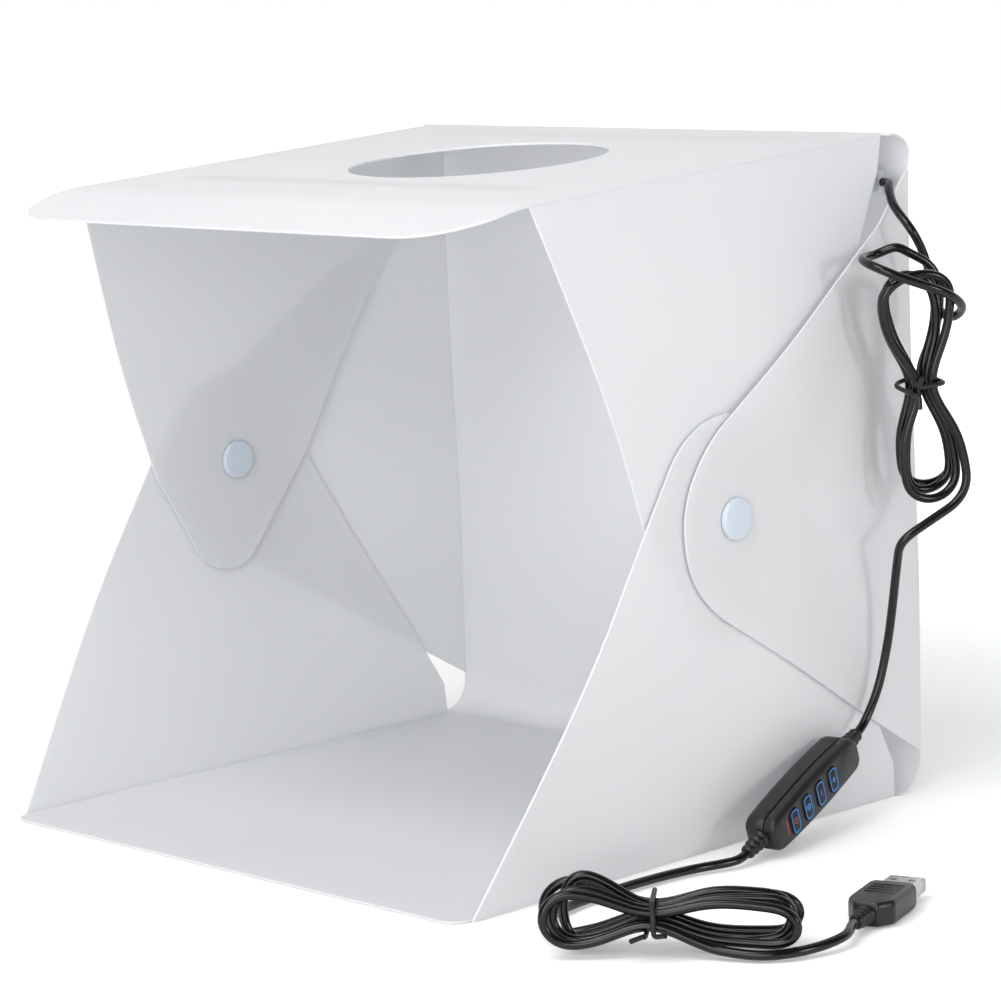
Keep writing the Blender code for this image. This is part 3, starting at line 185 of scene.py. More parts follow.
# The cord: 3.1 mm round lead with a limp, glossy black PVC jacket, extruded over its two cores.
# It leaves the clip in the rear corner, wraps the upper hank, hangs to the dimmer and ends in the plug.
CORD = 0.0031
HANK_TURN_POINTS = 72
ROUTE_STEP = 0.001
EVEN_STEP = 0.0011
EASING = 0.0022


def smooth_line(points, spacing):
    """Points along a smooth curve through the given ones, whose first and last runs stay straight."""
    known = [np.array(point, float) for point in points]
    fine = []
    for a, b, c, d in zip(known, known[1:], known[2:], known[3:]):
        for step in np.linspace(0.0, 1.0, 40, endpoint=False):
            square = (2 * a - 5 * b + 4 * c - d) * step ** 2
            cube = (3 * b - a - 3 * c + d) * step ** 3
            fine.append((2 * b + (c - a) * step + square + cube) / 2)
    fine.append(known[-2])
    fine = np.array([known[0], *fine, known[-1]])
    run = np.concatenate([[0.0], np.cumsum(np.linalg.norm(np.diff(fine, axis=0), axis=1))])
    places = np.linspace(0.0, run[-1], max(3, round(run[-1] / spacing)) + 1)
    return [Vector([np.interp(place, run, fine[:, axis]) for axis in range(3)]) for place in places]


def hank_line(centre, along, across, half_length, half_width, turns, start, waist, taper, phase):
    """A bound hank as one line: turns drawn in at the waist, each further through and not quite alike."""
    through = across.cross(along)
    through *= -1 if abs(along.z) < 0.5 else 1
    points = []
    count = round(turns * HANK_TURN_POINTS)
    for index in range(count + 1):
        angle = start + 2 * math.pi * turns * index / count
        place = math.cos(angle)
        # straight runs with round ends, one end wider than the other
        narrow = 1 - taper * place
        past = max(0.0, 1 + (abs(place) - 1) / (0.24 * narrow))
        side = math.copysign(math.sqrt(1 - past ** 2), math.sin(angle))
        # slow waves make each turn a little different, and fade out where the hank meets the free cord
        inside = 1 - abs(2 * index / count - 1) ** 6
        fullness = 1 + 0.10 * math.sin(0.83 * angle + math.radians(34.0))
        fullness *= 1 - 0.30 * inside * (1 + math.sin(0.31 * angle + phase)) / 2
        sideways = 0.16 * inside * place ** 2 * math.sin(0.38 * angle + phase + 1.5)
        shrink = 0.05 * (1 + math.sin(0.59 * angle))
        shrink += 0.15 * (1 + math.sin(0.45 * angle + phase)) / 2 * place ** 2
        held = 1 - shrink * inside
        # the tie draws all turns in at the waist
        draw = 1 - 0.80 * math.exp(-((place - waist) / 0.34) ** 2)
        depth = 0.0038 * turns * (index / count - 0.5) * (1 + 0.35 * place ** 2)
        width = half_width * (fullness * draw * side * narrow + sideways)
        points.append(centre + along * (half_length * place * held) + across * width + through * depth)
    return points


def eased(points, spacing, reach):
    """The line again at an even spacing, its sharpest turns eased over that reach; its ends stay."""
    line = np.array([tuple(point) for point in points])
    run = np.concatenate([[0.0], np.cumsum(np.linalg.norm(np.diff(line, axis=0), axis=1))])
    places = np.linspace(0.0, run[-1], round(run[-1] / spacing) + 1)
    even = np.array([np.interp(places, run, line[:, axis]) for axis in range(3)]).T
    for _ in range(round(2 * (reach / spacing) ** 2)):
        even[1:-1] = even[1:-1] / 2 + (even[:-2] + even[2:]) / 4
    return [Vector(point) for point in even]


def tube(name, points, diameter, sides, material):
    """A round curve along a line of points, with flat ends."""
    data = bpy.data.curves.new(name, "CURVE")
    data.dimensions = "3D"
    data.bevel_depth = diameter / 2
    data.bevel_resolution = sides
    data.use_fill_caps = True
    data.materials.append(material)
    spline = data.splines.new("POLY")
    spline.points.add(len(points) - 1)
    for target, point in zip(spline.points, points):
        target.co = (*point, 1.0)
    return linked(name, data)


def new_material(name):
    """An empty material, its node tree, and object coordinates in metres."""
    made = bpy.data.materials.new(name)
    made.use_nodes = True
    made.node_tree.nodes.clear()
    place = add(made.node_tree, "ShaderNodeTexCoord")
    return made, made.node_tree, place.outputs["Object"]


def settle(piece):
    """Turn a curve, or a mesh with modifiers, into a plain mesh of the same name and look."""
    bpy.context.view_layer.update()
    mesh = bpy.data.meshes.new_from_object(piece.evaluated_get(bpy.context.evaluated_depsgraph_get()))
    mesh.transform(piece.matrix_world)
    name = piece.name
    bpy.data.objects.remove(piece, do_unlink=True)
    return linked(name, mesh)


# extruded PVC: smooth and glossy, with the slightest waviness of a jacket drawn off the die
jacket, tree, place = new_material("extruded PVC cord jacket")
wave = add(tree, "ShaderNodeTexNoise", [("Vector", place)], Scale=1 / 0.009, Detail=2.0)
fine = add(tree, "ShaderNodeTexNoise", [("Vector", place)], Scale=1 / 0.0006, Detail=1.0)
grain = add(tree, "ShaderNodeMix", [("A", wave.outputs["Fac"]), ("B", fine.outputs["Fac"])], Factor=0.25)
bump = add(tree, "ShaderNodeBump", [("Height", grain.outputs[0])], Strength=0.22, Distance=0.0002)
gloss = add(tree, "ShaderNodeMapRange", [("Value", wave.outputs["Fac"])], To_Min=0.15, To_Max=0.26)
skin = add(tree, "ShaderNodeBsdfPrincipled", [("Roughness", gloss.outputs[0]), ("Normal", bump.outputs[0])],
           Base_Color=linear("#09090C"), IOR=1.50)
add(tree, "ShaderNodeOutputMaterial", [("Surface", skin.outputs[0])])

drop = smooth_line([
    (0.1038, 0.11175, 0.2162), (0.1069, 0.11175, 0.2162), (0.1108, 0.1064, 0.2152), (0.1148, 0.1022, 0.2128),
    (0.1184, 0.0990, 0.2102), (0.1222, 0.0972, 0.2074), (0.12878, 0.09585, 0.20191),
    (0.12963, 0.10074, 0.19442), (0.13075, 0.10304, 0.18669), (0.1327, 0.10318, 0.1785),
    (0.13605, 0.1025, 0.17291), (0.14281, 0.10036, 0.17205), (0.15021, 0.09575, 0.17553),
    (0.15386, 0.0888, 0.17944), (0.15328, 0.08043, 0.18321), (0.14651, 0.06976, 0.18791),
    (0.14031, 0.06433, 0.19136), (0.13272, 0.0658, 0.19333), (0.12678, 0.07219, 0.1939),
    (0.1252, 0.08056, 0.19418), (0.13119, 0.08528, 0.19728), (0.13254, 0.0875, 0.19559)], ROUTE_STEP)
upper_along = Vector((0.0, -0.16505, 0.98629))
upper_across = Vector((0.48481, 0.86262, 0.14435))
upper_centre = Vector((0.1385, 0.0871, 0.15046))
upper_hank = hank_line(upper_centre, upper_along, upper_across, half_length=0.0435, half_width=0.0118,
                       turns=3.46, start=math.radians(14.0), waist=0.0, taper=-0.14, phase=4.7)
to_dimmer = smooth_line([
    (0.14498, 0.08751, 0.10524), (0.14375, 0.08509, 0.10374), (0.13866, 0.07647, 0.09749),
    (0.13448, 0.07891, 0.0901), (0.13002, 0.08181, 0.07541), (0.12701, 0.08248, 0.06095),
    (0.12502, 0.08036, 0.04706), (0.124, 0.07697, 0.03864), (0.12361, 0.07156, 0.03135),
    (0.12404, 0.06867, 0.03029)], ROUTE_STEP)
from_dimmer = smooth_line([
    (0.13496, -0.00347, 0.00388), (0.13539, -0.00636, 0.00283), (0.13352, -0.01209, 0.0024),
    (0.1292, -0.02307, 0.002), (0.12713, -0.04011, 0.00204), (0.12689, -0.06014, 0.00204),
    (0.12829, -0.08008, 0.00204), (0.1333, -0.0952, 0.00219), (0.14068, -0.10427, 0.00219),
    (0.14971, -0.10791, 0.00209), (0.15224, -0.10628, 0.00285)], ROUTE_STEP)
lower_along = Vector((0.78743, 0.61521, -0.03839))
lower_across = Vector((0.0195, 0.03738, 0.99911))
lower_hank = hank_line(Vector((0.184, -0.0934, 0.01173)), lower_along, lower_across,
                       half_length=0.0415, half_width=0.0090, turns=4.15, start=math.radians(225.0),
                       waist=-0.16, taper=0.20, phase=0.0)
to_plug = smooth_line([
    (0.19642, -0.09402, 0.00435), (0.19873, -0.09231, 0.00318), (0.20998, -0.08679, 0.0021),
    (0.21708, -0.07948, 0.0023), (0.22091, -0.0681, 0.00288), (0.22152, -0.05757, 0.00399),
    (0.2171, -0.0499, 0.0044), (0.21609, -0.04697, 0.0044)], ROUTE_STEP)

# both runs go on 12 mm, in three steps, through the dimmer's reliefs into its case
DIMMER_AXIS = Vector((-0.14061, 0.92972, 0.34038))
STEP_IN_CASE = 0.004
upper_line = eased([*drop, *upper_hank, *to_dimmer], EVEN_STEP, EASING)
upper_line += [upper_line[-1] - DIMMER_AXIS * STEP_IN_CASE * step for step in (1, 2, 3)]
lower_line = eased([*from_dimmer, *lower_hank, *to_plug], EVEN_STEP, EASING)
lower_line = [lower_line[0] + DIMMER_AXIS * STEP_IN_CASE * step for step in (3, 2, 1)] + lower_line

upper_cord = settle(tube("cord_upper_run", upper_line, CORD, 5, jacket))
lower_cord = tube("cord_lower_run", lower_line, CORD, 5, jacket)
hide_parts("cord_drop", "cord_hank_upper", "cord_to_dimmer")
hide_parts("cord_from_dimmer", "cord_hank_lower", "cord_to_plug")
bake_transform(upper_cord)
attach(lower_cord, "back_wing_right")


# The ties: one plastic-covered wire each, wound round the hank's waist and twisted once, ends standing off.
# Soft PVC over thin steel wire, duller than the cord, whose cut ends are rounded by hand.
TIE = 0.0016
TIE_CLEARANCE = 0.0010
TIE_END = 0.0045


def surface(name, colours, size, relief=None, gloss=None, detail=2.0, **finish):
    """A material whose tones, relief or roughness follow one noise with features of that size in metres."""
    made, tree, place = new_material(name)
    noise = add(tree, "ShaderNodeTexNoise", [("Vector", place)], Scale=1 / size, Detail=detail).outputs["Fac"]
    links = []
    if len(colours) > 1:
        tone = add(tree, "ShaderNodeMix", [("Factor", noise)], data_type="RGBA")
        tone.inputs[6].default_value = linear(colours[0])
        tone.inputs[7].default_value = linear(colours[1])
        links.append(("Base Color", tone.outputs[2]))
    else:
        finish["Base_Color"] = linear(colours[0])
    if relief:
        bump = add(tree, "ShaderNodeBump", [("Height", noise)], Strength=relief[0], Distance=relief[1])
        links.append(("Normal", bump.outputs[0]))
    if gloss:
        uneven = add(tree, "ShaderNodeMapRange", [("Value", noise)], To_Min=gloss[0], To_Max=gloss[1])
        links.append(("Roughness", uneven.outputs[0]))
    skin = add(tree, "ShaderNodeBsdfPrincipled", links, **finish)
    add(tree, "ShaderNodeOutputMaterial", [("Surface", skin.outputs[0])])
    return made


# soft PVC drawn over wire: duller and greyer than the cord, with small dents from the fingers
tie_skin = surface("twist tie in soft PVC", ["#121215"], 0.0009, (0.30, 0.0001), detail=3.0,
                   Roughness=0.46, IOR=1.54)


def oblong(length, width, radius, steps=6, side=0):
    """A rounded rectangle about the origin, anticlockwise, its long sides with that many points more."""
    outline = []
    for quarter, (right, up) in enumerate(((1, -1), (1, 1), (-1, 1), (-1, -1))):
        corner = Vector((right * (length / 2 - radius), up * (width / 2 - radius)))
        for step in range(steps + 1):
            angle = math.pi / 2 * (quarter - 1 + step / steps)
            outline.append(corner + Vector((math.cos(angle), math.sin(angle))) * radius)
        if side and quarter in (1, 3):
            run = right * (length / 2 - radius)
            outline += [Vector((run * (1 - 2 * k / (side + 1)), up * width / 2)) for k in range(1, side + 1)]
    return outline


def wound_tie(name, node, centre, along, across, through, half_across, half_through):
    """The tie's wire as one line: once round the bundle, then its two ends off to each side."""
    reach_a = half_across + CORD / 2 + TIE_CLEARANCE + TIE / 2
    reach_b = half_through + CORD / 2 + TIE_CLEARANCE + TIE / 2
    ring = oblong(2 * reach_a, 2 * reach_b, 0.7 * min(reach_a, reach_b), 5)
    # the wire starts and ends on the third of the four corners
    ring = ring[15:] + ring[:15]
    step = 2 * TIE / len(ring)
    wire = [centre + across * p.x + through * p.y + along * (step * k - TIE) for k, p in enumerate(ring)]
    root = wire[0].lerp(wire[-1], 0.5) + through * TIE
    ends = []
    for side in (-1.0, 1.0):
        lean = (through * 0.6 + along * side + across * side * 0.3).normalized()
        first = root + along * side * TIE
        ends.append([first + lean * TIE_END * share for share in (0.0, 0.35, 0.7, 1.0)])
    line = eased(ends[0][::-1] + wire[1:-1] + ends[1], 0.0005, 0.0008)
    made = tube(name, line, TIE, 4, tie_skin)
    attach(made, "back_wing_right")
    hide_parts(node)
    return made


upper_tie = wound_tie("tie_upper_wire", "hank_tie_upper", upper_centre, upper_along, upper_across,
                      upper_across.cross(upper_along), 0.0026, 0.00657)
lower_tie = wound_tie("tie_lower_wire", "hank_tie_lower", Vector((0.17877, -0.09748, 0.01199)), lower_along,
                      lower_across, -lower_across.cross(lower_along), 0.00204, 0.00789)


# The strain reliefs: ribbed sleeves moulded in soft black rubber where the cord enters dimmer and plug.
# Narrow at the cord, with three rounded ribs and grooves between.
RELIEF_LENGTH = 0.0092
RELIEF_ROOT = 0.0033
RELIEF_TIP = 0.0024
RELIEF_MOUTH = 0.0018
RIB_DEPTH = 0.0007
RIB_WAVES = 3.5
SEAT_GAP = 0.0003
CASE_LENGTH = 0.058
CASE_HEIGHT = 0.0125


def at(x, y, z):
    """A move by that much."""
    return Matrix.Translation((x, y, z))


def finished(name, work, materials, matrix=Matrix(), sharp=None):
    """Close a mesh in the making: placed, in its materials, and smooth up to edges of that many degrees."""
    mesh = bpy.data.meshes.new(name)
    work.to_mesh(mesh)
    work.free()
    mesh.transform(matrix)
    for material in materials:
        mesh.materials.append(material)
    if sharp:
        mesh.shade_smooth()
        mesh.set_sharp_from_angle(angle=math.radians(sharp))
    return linked(name, mesh)


def lofted(name, rings, material, matrix, sharp=35.0):
    """A closed body from rings of equal count, or of one point at a tip, with flat ends."""
    work = bmesh.new()
    loops = [[work.verts.new(point) for point in ring] for ring in rings]
    for low, high in zip(loops, loops[1:]):
        for k in range(max(len(low), len(high))):
            face = [low[k % len(low)], low[(k + 1) % len(low)],
                    high[(k + 1) % len(high)], high[k % len(high)]]
            work.faces.new(list(dict.fromkeys(face)))
    for loop in (loops[0][::-1], loops[-1]):
        if len(loop) > 1:
            work.faces.new(loop)
    bmesh.ops.recalc_face_normals(work, faces=work.faces[:])
    return finished(name, work, [material], matrix, sharp)


def turned(name, profile, matrix, material, steps=64):
    """A body turned about its own Z axis from a profile of radius and height."""
    around = [2 * math.pi * k / steps for k in range(steps)]
    rings = [[(radius * math.cos(a), radius * math.sin(a), height) for a in (around if radius else [0.0])]
             for radius, height in profile]
    return lofted(name, rings, material, matrix, 40.0)


# moulded rubber: dark and half dull, with the fine skin of a spark eroded mould
rubber = surface("moulded black rubber", ["#141418"], 0.0005, (0.20, 0.0001), Roughness=0.36, IOR=1.50)


def relief(name, node, matrix):
    """A ribbed sleeve that narrows from its root to the cord."""
    profile = [(0.0, 0.0), (RELIEF_ROOT, 0.0)]
    for step in range(85):
        share = step / 84
        rib = 0.5 + 0.5 * math.cos(2 * math.pi * RIB_WAVES * share)
        wide = RELIEF_ROOT + (RELIEF_TIP - RELIEF_ROOT) * share
        profile.append((wide - RIB_DEPTH * (1 - rib ** 0.6), RELIEF_LENGTH * share))
    profile += [(RELIEF_MOUTH, RELIEF_LENGTH), (0.0, RELIEF_LENGTH)]
    made = turned(name, profile, matrix, rubber, 40)
    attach(made, "back_wing_right")
    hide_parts(node)
    return made


# the dimmer's frame has x along the case, y across it and z out of its keys; the plug's has x to its mouth
DIMMER_FRAME = Matrix(((-0.14061, 0.0509, 0.98876, 0.12332), (0.92972, -0.33655, 0.14954, 0.03167),
                       (0.34038, 0.94029, 0.0, 0.01709), (0.0, 0.0, 0.0, 1.0)))
PLUG_FRAME = at(0.2129, -0.0377, 0.0044) @ Matrix.Rotation(math.radians(109.0), 4, "Z")
along_x = Matrix.Rotation(math.pi / 2, 4, "Y")
against_x = Matrix.Rotation(-math.pi / 2, 4, "Y")
case_end = CASE_LENGTH / 2 + SEAT_GAP
upper_relief = relief("relief_upper_sleeve", "relief_upper",
                      DIMMER_FRAME @ at(case_end, 0.0, CASE_HEIGHT / 2) @ along_x)
lower_relief = relief("relief_lower_sleeve", "relief_lower",
                      DIMMER_FRAME @ at(-case_end, 0.0, CASE_HEIGHT / 2) @ against_x)
plug_relief = relief("plug_relief_sleeve", "plug_relief", PLUG_FRAME @ at(-SEAT_GAP, 0.0, 0.0) @ against_x)


# The sheet box: 0.8 mm polypropylene sheet, die cut, creased for its folds and frosted on both faces.
# The back runs on into the top over one soft bend, and three wings overlap in each bulged side wall.
SHEET = 0.0008
RIM = 0.00022
REAR = 0.1156
BOX_HEIGHT = 0.234
BEND = 0.0127
TOP_SLOPE = math.radians(4.0)
LIP_SLOPE = math.radians(13.5)
TOP_HINGE_DEPTH = 0.01359
TOP_HINGE_HEIGHT = 0.23397
TOP_CREASE = 0.188
TOP_FRONT = 0.2244
LIP_BEND = 0.012
LIP_CORNER = 0.026
HOLE_DEPTH = 0.0984
HOLE_RADIUS = 0.046
CURL = 0.0034
CURL_FROM = 0.095
BULGE = 0.011
BULGE_REACH = 0.08798
OUTER, MIDDLE, INNER = 0.115, 0.1133, 0.1116

frosted, tree, place = new_material("frosted polypropylene sheet")
# the embossed frost is about 0.3 mm; drawn at 0.8 mm so that it shows, with the sheet's slow waves under it
frost = add(tree, "ShaderNodeTexNoise", [("Vector", place)], Scale=1 / 0.0008, Detail=2.0)
waves = add(tree, "ShaderNodeTexNoise", [("Vector", place)], Scale=1 / 0.07, Detail=1.0)
tone = add(tree, "ShaderNodeMix", [("Factor", waves.outputs["Fac"])], data_type="RGBA")
tone.inputs[6].default_value = linear("#F1F2F4")
tone.inputs[7].default_value = linear("#F5F6F7")
slow = add(tree, "ShaderNodeBump", [("Height", waves.outputs["Fac"])], Strength=0.25, Distance=0.002)
bump = add(tree, "ShaderNodeBump", [("Height", frost.outputs["Fac"]), ("Normal", slow.outputs[0])],
           Strength=0.10, Distance=0.0001)
skin = add(tree, "ShaderNodeBsdfPrincipled", [("Base Color", tone.outputs[2]), ("Normal", bump.outputs[0])],
           Roughness=0.46, IOR=1.49)
# the milky sheet passes nearly a third of the light that falls on it
through = add(tree, "ShaderNodeBsdfTranslucent", [("Color", tone.outputs[2])])
skin = add(tree, "ShaderNodeMixShader", [(1, skin.outputs[0]), (2, through.outputs[0])], Fac=0.30)
add(tree, "ShaderNodeOutputMaterial", [("Surface", skin.outputs[0])])


def rounded(points, radii, steps=10):
    """A flat outline with each corner replaced by an arc of its radius."""
    outline = []
    for index, (point, radius) in enumerate(zip(points, radii)):
        here = Vector(point)
        if not radius:
            outline.append(here)
            continue
        before = Vector(points[index - 1]) - here
        after = Vector(points[(index + 1) % len(points)]) - here
        half = before.angle(after) / 2
        run = min(radius / math.tan(half), before.length / 2, after.length / 2)
        middle = (before.normalized() + after.normalized()).normalized() * (run / math.cos(half))
        centre = here + middle
        start = here + before.normalized() * run - centre
        sweep = start.angle_signed(here + after.normalized() * run - centre)
        for step in range(steps + 1):
            outline.append(centre + Matrix.Rotation(-sweep * step / steps, 2) @ start)
    return outline


def cuts_between(low, high, step):
    """Evenly spaced cuts inside a span."""
    count = max(2, math.ceil((high - low) / step))
    return [low + (high - low) * index / count for index in range(1, count)]


def laid_sheet(name, outline, columns, rows, shape, inward):
    """A sheet cut flat to its outline, laid on a surface and thickened to one side."""
    work = bmesh.new()
    work.faces.new([work.verts.new((point[0], point[1], 0.0)) for point in outline])
    for axis, places in ((Vector((1.0, 0.0, 0.0)), columns), (Vector((0.0, 1.0, 0.0)), rows)):
        for place in places:
            every = work.verts[:] + work.edges[:] + work.faces[:]
            bmesh.ops.bisect_plane(work, geom=every, plane_co=axis * place, plane_no=axis)
    for vert in work.verts:
        vert.co = shape(vert.co.x, vert.co.y)
    work.normal_update()
    if sum(face.normal.dot(inward) * face.calc_area() for face in work.faces) > 0:
        bmesh.ops.reverse_faces(work, faces=work.faces[:])
    made = finished(name, work, [frosted])
    thick = made.modifiers.new("thickness", "SOLIDIFY")
    thick.thickness = SHEET
    thick.offset = -1.0
    return made


def eased_rim(piece):
    """Ease the cut edges of a sheet, keep its faces flat to the light, and make it a plain mesh."""
    bevel = piece.modifiers.new("eased rim", "BEVEL")
    bevel.width = RIM
    bevel.segments = 2
    bevel.limit_method = "ANGLE"
    bevel.angle_limit = math.radians(50.0)
    made = settle(piece)
    made.data.shade_smooth()
    flat = made.modifiers.new("flat faces", "WEIGHTED_NORMAL")
    flat.keep_sharp = True
    return settle(made)


def top_height(depth):
    """Height of the top sheet's upper face at a depth from the rear, with its front lip bent down."""
    height = TOP_HINGE_HEIGHT - (depth - TOP_HINGE_DEPTH) * math.tan(TOP_SLOPE)
    past = depth - TOP_CREASE
    if past > 0:
        eased_fall = past - LIP_BEND / 2 if past > LIP_BEND else past ** 2 / (2 * LIP_BEND)
        height -= eased_fall * (math.tan(LIP_SLOPE) - math.tan(TOP_SLOPE))
    return height


def swell(share):
    """A rise from 0 to 1 over a share of a reach, steep at first and level at its end."""
    share = min(max(share, 0.0), 1.0)
    return share * (4 - share ** 3) / 3


def edge_curl(height):
    """How far the back's upright creases are drawn forward by the wings: most near the top."""
    return CURL * swell((height - 0.080) / 0.11) * (1 - swell((height - BOX_HEIGHT + BEND) / BEND))


# the strip's stretches, measured along the sheet from its lower edge
quarter = BEND * math.pi / 2
top_bend = BEND * (math.pi / 2 + TOP_SLOPE)
straight = BOX_HEIGHT - 2 * BEND
fold = quarter + straight + top_bend
front = fold + TOP_FRONT - TOP_HINGE_DEPTH
crease = fold + TOP_CREASE - TOP_HINGE_DEPTH


def back_and_top(x, along):
    """The long strip: bottom bend, back, top bend, top and front lip."""
    curl = max(0.0, (abs(x) - CURL_FROM) / (OUTER - CURL_FROM)) ** 2
    if along < quarter:
        turn = along / BEND
        return x, REAR - BEND + BEND * math.sin(turn), BEND - BEND * math.cos(turn)
    if along < quarter + straight:
        height = BEND + along - quarter
        return x, REAR - curl * edge_curl(height), height
    if along < fold:
        turn = (along - quarter - straight) / BEND
        height = BOX_HEIGHT - BEND + BEND * math.sin(turn)
        drawn = curl * edge_curl(height) * math.cos(turn) ** 2
        return x, REAR - BEND + BEND * math.cos(turn) - drawn, height
    depth = TOP_HINGE_DEPTH + along - fold
    return x, REAR - depth, top_height(depth)


corners = [(-OUTER, 0.0), (OUTER, 0.0), (OUTER, fold), (INNER, fold + 0.0004), (INNER, front),
           (-INNER, front), (-INNER, fold + 0.0004), (-OUTER, fold)]
outline = rounded(corners, (0.0, 0.0, 0.0, 0.0, LIP_CORNER, LIP_CORNER, 0.0, 0.0), 20)
rows = cuts_between(0.0, quarter, quarter / 16) + [quarter, quarter + straight]
rows += cuts_between(quarter, quarter + straight, 0.012)
rows += cuts_between(quarter + straight, fold, top_bend / 18)
rows += cuts_between(fold - 0.002, fold + 0.0008, 0.0004) + cuts_between(fold + 0.006, crease, 0.012)
rows += [crease] + cuts_between(crease, crease + LIP_BEND, 0.001) + [crease + LIP_BEND]
columns = cuts_between(-CURL_FROM, CURL_FROM, 0.012) + [-CURL_FROM, CURL_FROM]
columns += cuts_between(CURL_FROM, OUTER, 0.0026) + cuts_between(-OUTER, -CURL_FROM, 0.0026)
body = laid_sheet("back_and_top_sheet", outline, columns, rows, back_and_top, Vector((0.0, -1.0, -1.0)))
work = bmesh.new()
bmesh.ops.create_cone(work, cap_ends=True, segments=128, radius1=HOLE_RADIUS, radius2=HOLE_RADIUS,
                      depth=0.008)
punch = finished("hole_cutter", work, [])
sloped = Matrix.Rotation(TOP_SLOPE, 4, "X")
punch.matrix_world = at(0.0, REAR - HOLE_DEPTH, top_height(HOLE_DEPTH)) @ sloped
hole = body.modifiers.new("camera hole", "BOOLEAN")
hole.operation = "DIFFERENCE"
hole.solver = "EXACT"
hole.object = punch
body = settle(body)
bpy.data.objects.remove(punch, do_unlink=True)
body = eased_rim(body)
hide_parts("back_panel", "top_panel")
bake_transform(body)

FLOOR_SIDE = 0.1122
FLOOR_CORNER = 0.007
floor_rear = REAR - BEND
floor_front = REAR - 0.2312
corners = [(-FLOOR_SIDE, floor_rear), (-FLOOR_SIDE, floor_front), (FLOOR_SIDE, floor_front),
           (FLOOR_SIDE, floor_rear)]
floor = laid_sheet("floor_sheet", rounded(corners, (0.0, FLOOR_CORNER, FLOOR_CORNER, 0.0)),
                   cuts_between(-FLOOR_SIDE, FLOOR_SIDE, 0.014), cuts_between(floor_front, floor_rear, 0.014),
                   lambda x, y: (x, y, SHEET), Vector((0.0, 0.0, -1.0)))
floor = eased_rim(floor)
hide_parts("floor_panel")
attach(floor, "floor")


def wall_offset(depth, height):
    """Outward bulge of the side wall."""
    under = TOP_HINGE_HEIGHT - (depth - TOP_HINGE_DEPTH) * math.tan(TOP_SLOPE)
    upright = swell(height / BULGE_REACH) * swell((under - height) / BULGE_REACH)
    return BULGE * swell(depth / BULGE_REACH) * upright


def wing(kind, word, side, layer, points, radii):
    """One wing: its outline in depth and height, laid on the bulged wall in its own layer."""
    def wall(depth, height):
        drawn = edge_curl(height) * max(0.0, 1 - depth / 0.02) if layer == OUTER else 0.0
        return side * (layer + wall_offset(depth, height)), REAR - depth - drawn, height

    outline = rounded(points, radii)
    columns, rows = [cuts_between(min(places), max(places), 0.005) for places in zip(*outline)]
    made = laid_sheet(f"{kind}_wing_sheet_{word}", outline, columns, rows, wall, Vector((-side, 0.0, 0.0)))
    made = eased_rim(made)
    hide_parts(f"{kind}_wing_{word}")
    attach(made, f"{kind}_wing_{word}")


# outlines in depth from the rear and height, each from its crease round to its tip and back
HANG = SHEET / math.cos(TOP_SLOPE)
upper_points = [(TOP_CREASE, top_height(TOP_CREASE) - HANG), (0.1499, 0.1121), (0.1180, 0.0590),
                (0.0761, 0.1121), (0.0170, 0.2209), (0.0142, top_height(0.0142) - HANG)]
lower_points = [(TOP_FRONT, 0.0002), (0.1499, 0.1179), (0.1310, 0.1470), (0.0969, 0.1500),
                (0.0761, 0.1150), (0.0145, 0.0125), (0.0133, 0.0002)]
back_tip = [(0.1240, 0.1399), (0.1364, 0.1190), (0.1331, 0.0970), (0.1221, 0.0840), (0.0008, 0.0145)]
back_tip_radii = (0.060, 0.060, 0.060, 0.060, 0.0)
# the left back wing has a higher shoulder than the right one: the hole shows its corner closed
shoulders = {"left": [(0.0008, 0.2210), (0.0055, 0.2295), (0.0200, 0.2295), (0.0400, 0.1950)],
             "right": [(0.0008, 0.2210), (0.0227, 0.2024)]}
shoulder_radii = {"left": (0.0, 0.004, 0.010, 0.040), "right": (0.0, 0.040)}
for side, word in ((-1.0, "left"), (1.0, "right")):
    wing("upper", word, side, INNER, upper_points, (0.0, 0.030, 0.018, 0.030, 0.0, 0.0))
    wing("lower", word, side, MIDDLE, lower_points, (0.0, 0.060, 0.060, 0.060, 0.030, 0.0, 0.0))
    wing("back", word, side, OUTER, shoulders[word] + back_tip, shoulder_radii[word] + back_tip_radii)


# The closures: round caps moulded in pale blue polypropylene, glued on, with a nickel-plated magnet inside.
# One sits outside each back wing and one inside each upper wing, and they pull the three layers together.
CLOSURE_DEPTH = 0.494 * TOP_FRONT
CLOSURE_HEIGHT = 0.4863 * BOX_HEIGHT
GLUE = 0.0003

# moulded polypropylene: a pale blue that flows in faint clouds, with a soft gloss
cap_skin = surface("moulded pale blue polypropylene", ["#C8D3DE", "#CFD9E2"], 0.004, (0.10, 0.0002),
                   Roughness=0.34, IOR=1.49)
# plated magnet steel: bright, with the faint orange peel of nickel plating
nickel = surface("nickel plated magnet", ["#C9C7C4"], 0.0008, (0.15, 0.00005), Roughness=0.24, Metallic=1.0)

